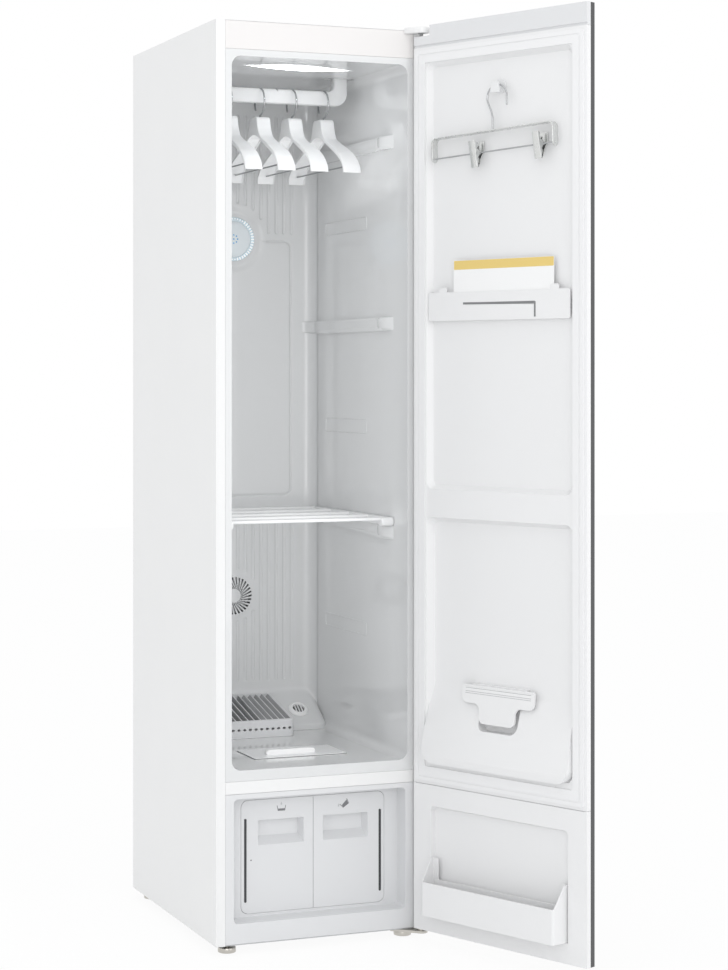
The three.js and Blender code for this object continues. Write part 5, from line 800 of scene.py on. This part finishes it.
def clip(side, x):
    z, y = CLIP_ROD_Z, CLIP_Y
    back = sheet("clip_%s_back_plate" % side,
                 [(x, y - 9.1, z + 22.9, 10.6), (x, y - 9.1, z + 20, 11.0), (x, y - 9.0, z + 4, 10.8),
                  (x, y - 8.4, z - 2, 8.4), (x, y - 6.8, z - 7, 6.0), (x, y - 2.6, z - 18, 6.0),
                  (x, y + 1.0, z - 27.6, 5.8)], 1.3)
    dress(back, "clip_back_%s" % side, "satin_metal")
    front = sheet("clip_%s_front_plate" % side,
                  [(x, y + 15.9, z + 23.0, 6.6), (x, y + 15.7, z + 21.6, 7.5), (x, y + 13.0, z + 2, 7.75),
                   (x, y + 9.1, z - 26.6, 7.5), (x, y + 8.9, z - 28.0, 6.6)], 1.3)
    dress(front, "clip_front_%s" % side, "satin_metal")
    for hand in (-1, 1):
        xa, xb = sorted((x + hand * 7.7, x + hand * 6.5))
        flange = [(y + 16.3, z + 22.4), (y + 9.4, z - 27.4), (y + 4.6, z - 27.6), (y + 7.0, z - 10),
                  (y + 1.5, z - 3.4)]
        flange += [(y - 3.4 * sin(a), z - 3.4 * cos(a)) for a in (pi * k / 8 for k in range(1, 8))]
        flange += [(y + 1.5, z + 3.4), (y + 8.6, z + 8), (y + 11.4, z + 22.6)]
        ear = slab("clip_%s_flange_%s" % (side, "a" if hand < 0 else "b"), flange, xa, xb, "X", CLIP)
        round_edges(ear, 0.00035, 2)
        adds(ear, "clip_front_" + side, "satin_metal")
    turns = [Vector((x - 5.2 + 10.4 * k / 96, y + 3.3 * cos(k * pi / 8),
                     z + 3.3 * sin(k * pi / 8))) for k in range(97)]
    turns += [Vector((x + 4.6, y - 7.2, z + 11.0)), Vector((x + 2.6, y - 7.7, z + 14.0))]
    adds(skinned("clip_%s_spring" % side, tube_rings(turns, 0.75, 8), CLIP, 70.0), "clip_back_%s" % side, "dark_metal")
    # A dark block between the jaws' feet: painted shade in the slot between them
    block = [(y + 1.8, z - 27.4), (y + 8.2, z - 27.0), (y + 9.2, z - 19.5), (y - 0.6, z - 19.5)]
    jaw_gap_shade = slab("clip_%s_pad" % side, block, x - 5.6, x + 5.6, "X", CLIP)
    round_edges(jaw_gap_shade, 0.0005, 2)
    adds(jaw_gap_shade, "clip_front_" + side, "gap_shade_and_gauge_dark")


# Shelf: five tubes, moulded side rails and end caps
def shelf():
    outer = CAVITY_HALF - 0.6
    front, back = 67.0, 504.0
    for k in range(5):
        y = front + 11 + k * (back - front - 22) / 4
        line = [(x, y, SHELF_TOP - 3.8) for x in (-outer + 8, 0, outer - 8)]
        dress(tube("shelf_tube_%d" % (k + 1), line, 3.5, steps=2, sides=24), "shelf_rack")
    for side, tag in ((-1, "left"), (1, "right")):
        a, b = sorted((side * (outer - 2), side * (outer - 11)))
        rail = slab("shelf_rail_" + tag, round_rect(a, b, SHELF_TOP - 18, SHELF_TOP, 3.0, 4),
                    front + 4, back, "Y")
        round_edges(rail, 0.0012, 3)
        dress(rail, "shelf_rack")
        a, b = sorted((side * outer, side * (outer - 27)))
        cap = slab("shelf_cap_" + tag, round_rect(front, front + 22, SHELF_TOP - 18, SHELF_TOP, 6.5, 6), a, b, "X")
        round_edges(cap, 0.0022, 4)
        dress(cap, "shelf_rack")


# Steam outlet, feet and ceiling light
def steam_outlet():
    slope = math.atan2(PLINTH_TOP - PLINTH_LIP, BACK_WALL - PLINTH_FRONT)
    place = Vector((132.0, 467.5, PLINTH_LIP + 43.5 * math.tan(slope)))
    axis = Vector((0, -sin(slope), cos(slope)))
    profile = [(13.0, -15.0), (13.0, 0.3), (21.8, 0.3), (22.6, 1.0), (22.3, 2.4), (20.6, 4.3), (17.6, 5.6),
               (14.6, 6.1), (13.4, 5.4), (12.9, 4.2), (12.8, 1.2), (0.01, 1.0)]
    dress(lathe("outlet_rim", profile, place, axis), "steam_outlet", "label_white")
    # A dark disc under the bars: painted shade inside the outlet's opening
    well = lathe("outlet_opening_shade", [(12.7, 1.1), (12.6, 1.7), (0.01, 1.7)], place, axis, sides=48)
    adds(well, "steam_outlet", "gap_shade_and_gauge_dark")
    turn = Vector((0, 0, 1)).rotation_difference(axis).to_matrix()
    for k, x in enumerate((-6.6, 0.0, 6.6)):
        reach = sqrt(12.9 ** 2 - x ** 2)
        rings = []
        for i in range(13):
            along = -reach + 2 * reach * i / 12
            crest = 5.2 + 0.9 * cos(along / reach * pi / 2)
            section = ((-1.1, 1.2), (1.1, 1.2), (1.1, crest - 0.5), (0.5, crest), (-0.5, crest), (-1.1, crest - 0.5))
            rings.append([place + turn @ Vector((x + a, along, b)) for a, b in section])
        adds(skinned("outlet_bar_%d" % k, rings), "steam_outlet", "label_white")


def feet():
    for tag, x, y in (("front_left", -190, 28), ("front_right", 190, 28),
                      ("rear_left", -190, 520), ("rear_right", 190, 520)):
        profile = [(0.01, 0.0), (15.5, 0.0), (17.4, 0.7), (18.0, 2.2), (18.0, 8.6), (17.4, 10.2), (15.6, 11.0),
                   (8.4, 11.0), (7.6, 11.6), (5.2, 12.2)]
        for k in range(16):
            profile.append((5.0 if k % 2 else 4.4, 12.6 + k * 1.55))
        profile += [(4.4, 37.6), (0.01, 38.0)]
        dress(lathe("levelling_%s" % tag, profile, (x, y, 0.0), (0, 0, 1), sides=48, sharp=40.0), "foot_" + tag)


def ceiling_lamp():
    half, deep, thick = 122.0, 15.0, 3.6
    stations = 40
    rings = []
    for k in range(stations + 1):
        t = -1 + 2 * k / stations
        width = max(0.35, deep * (1 - abs(t) ** 1.9))
        drop = (thick + 2.6) * (1 - abs(t) ** 1.7)
        rings.append([(t * half, 125 + width * cos(a),
                       CAVITY_CEILING + 1.0 - drop * max(0.0, sin(a)) ** 0.8)
                      for a in (pi * i / 12 for i in range(13))])
    dress(skinned("ceiling_lens", rings, sharp=60.0), "ceiling_light_lens")


# Tank fronts: gauges, plain pictures, and painted shade in the seam between the tanks and in the gap round them
def tank_marks():
    face = TANK_FACE
    for side, tag, node in ((-1, "drain", "drain_tank"), (1, "supply", "supply_tank")):
        sx = side * GAUGE_X
        gauge = slab(tag + "_gauge", round_rect(sx - GAUGE_HALF, sx + GAUGE_HALF, 90.0, 257.0, 2.6, 6),
                     face + 0.3, face + 2.6, "Y")
        round_edges(gauge, 0.0002, 2)
        adds(gauge, node, "gap_shade_and_gauge_dark")
        shift = side * PICTURE_X
        tilt = 0.0 if side < 0 else radians(POURING_TILT)

        def turned(points):
            return [(shift + PICTURE_SCALE * (a * cos(tilt) - b * sin(tilt)),
                     PICTURE_Z + PICTURE_SCALE * (a * sin(tilt) + b * cos(tilt))) for a, b in points]

        bowl = [(-11, 7.5), (-9.6, 7.5), (-7.5, -2.4), (7.5, -2.4), (9.6, 7.5), (11, 7.5), (8.6, -4.6),
                (-8.6, -4.6)]
        adds(slab(tag + "_picture", turned(bowl), face - 0.12, face + 0.2, "Y"), node, "icon_grey")
        fill = [(-7.9, 0.4), (7.9, 0.4), (6.9, -3.6), (-6.9, -3.6)]
        if side > 0:
            fill = [(-8.0, 2.4), (8.8, 5.6), (7.0, -3.6), (-6.9, -3.6)]
        adds(slab(tag + "_picture_water", turned(fill), face - 0.10, face + 0.2, "Y"), node, "icon_grey")
        drop = [(1.9 * sin(t), -1.9 * cos(t))
                for t in (radians(d) for d in range(-120, 121, 15))]
        x, z = (shift, 282.5) if side < 0 else (shift - 14.0, 270.0)
        drop = [(x + a, z + b) for a, b in drop] + [(x, z + 5.0)]
        adds(slab(tag + "_picture_drop", drop, face - 0.1, face + 0.2, "Y"), node, "icon_light")
    dot = lathe("drain_dot", [(1.5, -0.2), (1.5, 0.1), (0.01, 0.15)], (-134.0, face, 174.0), (0, -1, 0), sides=20)
    adds(dot, "drain_tank", "icon_grey")
    # A dark strip in the seam between the tanks: painted shade in that gap
    line = [(-0.85, 68.6), (-0.2, 68.6), (-0.2, TANKS_TOP - 0.6), (-0.85, TANKS_TOP - 0.6)]
    adds(slab("tank_seam_shade", line, face - 0.07, face + 1.0, "Y"), "drain_tank", "shadow_grey")
    # A dark ring behind the tanks' edges: painted shade in the gap round them
    inner = round_rect(-155.1, 155.1, 67.9, TANKS_TOP + 0.1, 15.1, 8)
    outer = round_rect(-156.6, 156.6, 66.4, TANKS_TOP + 1.8, 16.6, 8)
    rings = [[(a, 44.7, b), (c, 44.7, d), (c, 45.2, d), (a, 45.2, b)] for (a, b), (c, d) in zip(inner, outer)]
    rings.append(rings[0])
    adds(skinned("tank_gap_shade", rings, caps=False), "tank_bay", "gap_shade_and_gauge_dark")


# Faint rounded outlines on the side walls and the bare card in the door's pocket
def wall_plates():
    for side, tag in ((-1, "left"), (1, "right")):
        for k, (z0, z1) in enumerate(((1453, 1480), (1020, 1049), (591, 618))):
            x = side * (CAVITY_HALF - 0.05)
            path = [Vector((x, y, z)) for y, z in round_rect(213, 444, z0, z1, 6.0, 6)]
            rings = []
            for i, point in enumerate(path):
                ahead = (path[(i + 1) % len(path)] - path[i - 1]).normalized()
                out = Vector((0, ahead.z, -ahead.y))
                rings.append([point + out * a + Vector((side * -b, 0, 0)) for a, b in
                              ((-0.9, -0.4), (-0.55, 0.5), (0.0, 0.8), (0.55, 0.5), (0.9, -0.4))])
            rings.append(rings[0])
            adds(skinned("wall_outline_%s_%d" % (tag, k + 1), rings, caps=False), "cavity_liner")


def pocket_card():
    left, right = 115.5, -140.5
    card = slab("pocket_card", round_rect(right, left, 1262, 1372, 2.0, 4), -6.9, -6.2, "Y", DOOR)
    adds(card, "accessory_pocket", "label_white")
    band = slab("pocket_card_band", round_rect(right + 0.6, left - 0.6, 1353.5, 1371.4, 1.6, 4),
                -6.5, -6.12, "Y", DOOR)
    adds(band, "accessory_pocket", "band_yellow")


# Ridges on the side walls that turn round the rear corner, over the supports' square ends
RIDGE_SECTION = ((0.0, 1.0), (0.45, 0.98), (0.8, 0.91), (0.96, 0.79), (1.0, 0.62), (1.0, 0.16), (0.97, 0.07),
                 (0.85, 0.015), (0.7, -0.003), (0.0, -0.004))


def wall_ridges():
    for side, tag in ((-1, "left"), (1, "right")):
        for name, top, wraps in (("low", SHELF_TOP - 18.3, False), ("mid", 1264.0, True), ("high", 1640.0, True)):
            wall = CAVITY_HALF + 0.2
            inward = Vector((-side, 0.0))
            path = []
            for k in range(13):
                share = k / 12
                reach = RIDGE_HIGH * sin(pi / 2 * share) ** 0.85
                path.append((Vector((side * wall, RIDGE_START + 40.6 * share)), inward, reach))
            for k in range(1, 9):
                reach = RIDGE_HIGH - 7.0 * ease(k / 8)
                path.append((Vector((side * wall, RIDGE_CREST + 42.0 * k / 8)), inward, reach))
            back = BACK_WALL - BACK_ROUND if wraps else 480.0
            for k in range(1, 5):
                path.append((Vector((side * wall, RIDGE_STEADY + (back - RIDGE_STEADY) * k / 4)), inward, RIDGE_LOW))
            if wraps:
                middle = Vector((side * (CAVITY_HALF - BACK_ROUND), BACK_WALL - BACK_ROUND))
                for k in range(1, 11):
                    turn = pi / 2 * k / 10
                    out = Vector((side * cos(turn), sin(turn)))
                    path.append((middle + out * (BACK_ROUND + 0.2), -out, RIDGE_LOW - 5.6 * ease((k - 5) / 5)))
            rings = []
            for place, outward, reach in path:
                ring = []
                tall = RIDGE_TALL - (2.5 if wraps else 13.0) * max(0.0, min(1.0, (place.y - RIDGE_CREST) / 384.0))
                for a, b in RIDGE_SECTION:
                    spot = place + outward * reach * a
                    ring.append((spot.x, spot.y, top - tall * b))
                rings.append(ring)
            adds(skinned("wall_ridge_%s_%s" % (tag, name), rings, sharp=50.0), "cavity_liner")


# Leaning grey fins in the air grille's slots: their grey is painted shade of the slots' insides
def grille_looks():
    inner = 82.0 - 4.5
    pitch = 2 * inner / 11
    slope = (PLINTH_TOP - 0.3 - 400.0) / (521.7 - 369.0)
    for i in range(11):
        x0 = -inner + i * pitch + 1.2
        x1 = x0 + pitch - 2.4
        low_x = x0 - 0.3 if i > 5 else x1 - 4.0
        verts = []
        for y in (370.2, 398.0, 430.0, 462.0, 490.0, 511.4):
            crest = 400.0 + (y - 369.0) * slope
            verts += [(x1 + 0.3, y, crest - 0.8), (x1 - 0.6, y, crest - 0.6), (low_x, y, crest - 15.0),
                      (low_x, y, crest - 16.4), (x1 + 0.3, y, crest - 4.0)]
        rings = [verts[k * 5:k * 5 + 5] for k in range(6)]
        # Grey fins: painted shade of the slots' insides
        adds(skinned("grille_slot_shade_%d" % i, rings), "air_grille", "slot_shade_and_pin_grey")


# Lint filter: a thin plate, its tray and a bright round-ended bar
def lint_filter():
    plate = slab("filter_plate", round_rect(-101.5, 101.5, 110.2, 219.0, 5.0, 6),
                 CAVITY_FLOOR + 0.3, CAVITY_FLOOR + 2.2, "Z")
    round_edges(plate, 0.0009, 3)
    dress(plate, "lint_filter")
    tray = slab("filter_tray", round_rect(-95.0, 95.0, 116.0, 214.0, 4.0, 4),
                CAVITY_FLOOR - 11.6, CAVITY_FLOOR + 0.4, "Z")
    round_edges(tray, 0.0008, 2)
    adds(tray, "lint_filter")
    bar = slab("filter_bar", round_rect(-66.0, 42.0, CAVITY_FLOOR + 0.3, CAVITY_FLOOR + 12.0, 5.6, 8),
               137.0, 150.5, "Y")
    round_edges(bar, 0.0022, 4)
    adds(bar, "lint_filter", "label_white")


# Upper hinge: a pressed arm with a rounded back, its pin and a dark washer
def upper_hinge():
    top, low = 1849.2, 1837.0
    plan = [(181.3, -0.6), (181.3, -3.4)]
    for k in range(23):
        turn = radians(-142 + 172 * k / 22)
        plan.append((HINGE_X + 0.5 + 14.7 * cos(turn), HINGE_Y - 4.0 + 14.7 * sin(turn)))
    plan += [(222.0, -8.6), (214.0, -4.4), (204.5, -0.6)]
    rings = []
    for inset, z in ((1.6, low), (0.5, low + 0.5), (0.0, low + 1.8), (0.0, top - 3.2), (0.5, top - 1.4),
                     (1.4, top - 0.5), (2.8, top)):
        middle = Vector((205.0, -15.0))
        ring = []
        for a, b in plan:
            inward = (middle - Vector((a, b))).normalized() * inset
            ring.append((a + inward.x, b + inward.y, z))
        rings.append(ring)
    dress(skinned("hinge_arm", rings, sharp=40.0), "upper_hinge", "case_white")
    washer = lathe("hinge_washer", [(6.6, -0.6), (6.9, -0.4), (6.9, 0.3), (6.6, 0.5)], (HINGE_X, HINGE_Y, low),
                   (0, 0, 1), sides=40)
    adds(washer, "upper_hinge", "slot_shade_and_pin_grey")
    pin = lathe("hinge_pin", [(3.8, 0.0), (3.95, 0.4), (3.95, 24.0), (3.8, 24.4)],
                (HINGE_X, HINGE_Y, low - 22.0), (0, 0, 1), sides=32)
    adds(pin, "upper_hinge", "slot_shade_and_pin_grey")


# Door: painted shade in the pocket's groove, the scoop's round corners, the strip under the bin, the seam, the clamp's
# lines
def door_marks():
    top, left, right = 1286.0, 89.0, -97.0
    # A dark strip along the pocket's top and right edges: painted shade in its groove
    groove = [(left, top + 2.0), (left, top - 2.0), (right + 4.2, top - 3.8), (right + 4.2, 1257.0),
              (right + 0.2, 1257.0), (right + 0.2, top - 1.0), (right + 2.6, top + 1.2)]
    adds(slab("pocket_groove_shade", groove, -4.6, -3.66, "Y", DOOR), "accessory_pocket", "shadow_grey")
    scoop = [(-59.3, 501.0), (-59.3, 433.9), (59.3, 433.9), (59.3, 501.0), (47.4, 501.0)]
    scoop += [(47.4 - 14 + 14 * cos(a), 456.0 - 14 * sin(a))
              for a in (pi / 2 * k / 8 for k in range(9))]
    scoop += [(-52.0 + 18 - 18 * sin(a), 460.0 - 18 * cos(a))
              for a in (pi / 2 * k / 10 for k in range(11))]
    scoop += [(-52.0, 501.0)]
    rings = [[(x, -20.2, z) for x, z in scoop], [(x, -20.25 + (519.0 - z) * 0.2865, z) for x, z in scoop]]
    adds(skinned("scoop_corners", rings, DOOR), "door_liner", "door_white")
    filler = slab("door_bin_filler", round_rect(-177.5, 177.5, 38.5, 62.2, 4.0, 4), -15.8, -3.95, "Y", DOOR)
    adds(filler, "door_lower_panel", "door_white")
    seam = slab("door_seam", round_rect(-216.0, 216.0, 317.6, 318.4, 0.3, 2), -4.1, -3.88, "Y", DOOR)
    adds(seam, "door_lower_panel", "line_grey")
    lean = (Matrix.Translation((0.0, -10.7, 527.0)) @ Matrix.Rotation(radians(5.5), 4, "X")
            @ Matrix.Translation((0.0, 10.7, -527.0)))
    for k, z in enumerate((523.6, 517.0, 513.4)):
        line = slab("clamp_line_%d" % k, round_rect(-84.0, 84.0, z - 0.6, z + 0.6, 0.5, 3), -6.9, -6.6, "Y",
                    DOOR @ lean)
        adds(line, "trouser_clamp", "line_grey")


# Pieces that keep their solid's form, with rounded edges where a width is given
ROUNDED = {
    "outer_case": (0.0010, None),
    "top_front_panel": (0.0008, "beam_white"),
    "mid_front_rail": (0.0016, None),
    "cavity_liner": (0.0016, None),
    "tank_bay": (0.0016, None),
    "drain_tank": (0.0, None),
    "supply_tank": (0.0, None),
    "door_skin": (0.0006, None),
    "door_top_cap": (0.0012, None),
    "door_liner": (0.0022, "door_white"),
    "door_lower_panel": (0.0014, "door_white"),
    "accessory_pocket": (0.0006, "door_white"),
    "door_bin": (0.0008, "door_white"),
    "trouser_clamp": (0.0010, "door_white"),
    "door_hook": (0.0010, "hanger_white"),
    "air_grille": (0.0, None),
    "fan_grille": (0.0, None),
    "hanger_bar": (0.0, "hanger_white"),
    "lower_hinge": (0.0008, None),
}

for name, solid in frame["nodes"].items():
    solid.data.materials.clear()
    solid.data.materials.append(looks[slot_of[name]])
for name, (width, look) in ROUNDED.items():
    rounded_copy(name, width, look)
back_wall()
ring_light()
for number in (1, 2, 3, 4):
    clothes_hanger(number)
trouser_hanger()
clip("left", 56.5)
clip("right", -105.0)
shelf()
steam_outlet()
feet()
ceiling_lamp()
tank_marks()
wall_plates()
pocket_card()
wall_ridges()
grille_looks()
lint_filter()
upper_hinge()
door_marks()

camera()
sky()
area_lamp("key", (-1.6, -4.2, 1.7), (0.0, 0.2, 1.0), (2.6, 2.6), KEY_POWER)
area_lamp("fill", (1.9, -3.2, 1.4), (0.0, 0.2, 0.9), (2.0, 2.4), FILL_POWER)
area_lamp("top", (0.0, -1.0, 3.4), (0.0, 0.1, 1.0), (2.4, 2.4), TOP_POWER)
area_lamp("strip", (-1.75, -4.3, 1.15), (0.0, 0.2, 1.05), (0.12, 2.2), STRIP_POWER)
area_lamp("inner", (-0.02, 0.03, 1.05), (0.03, 0.5, 1.05), (0.3, 1.3), INNER_POWER, False)
area_lamp("upper", (0.0, 0.2, 1.50), (0.0, 0.22, 1.77), (0.3, 0.26), UPPER_POWER, False)
floor()

bpy.context.scene.view_settings.view_transform = "Standard"
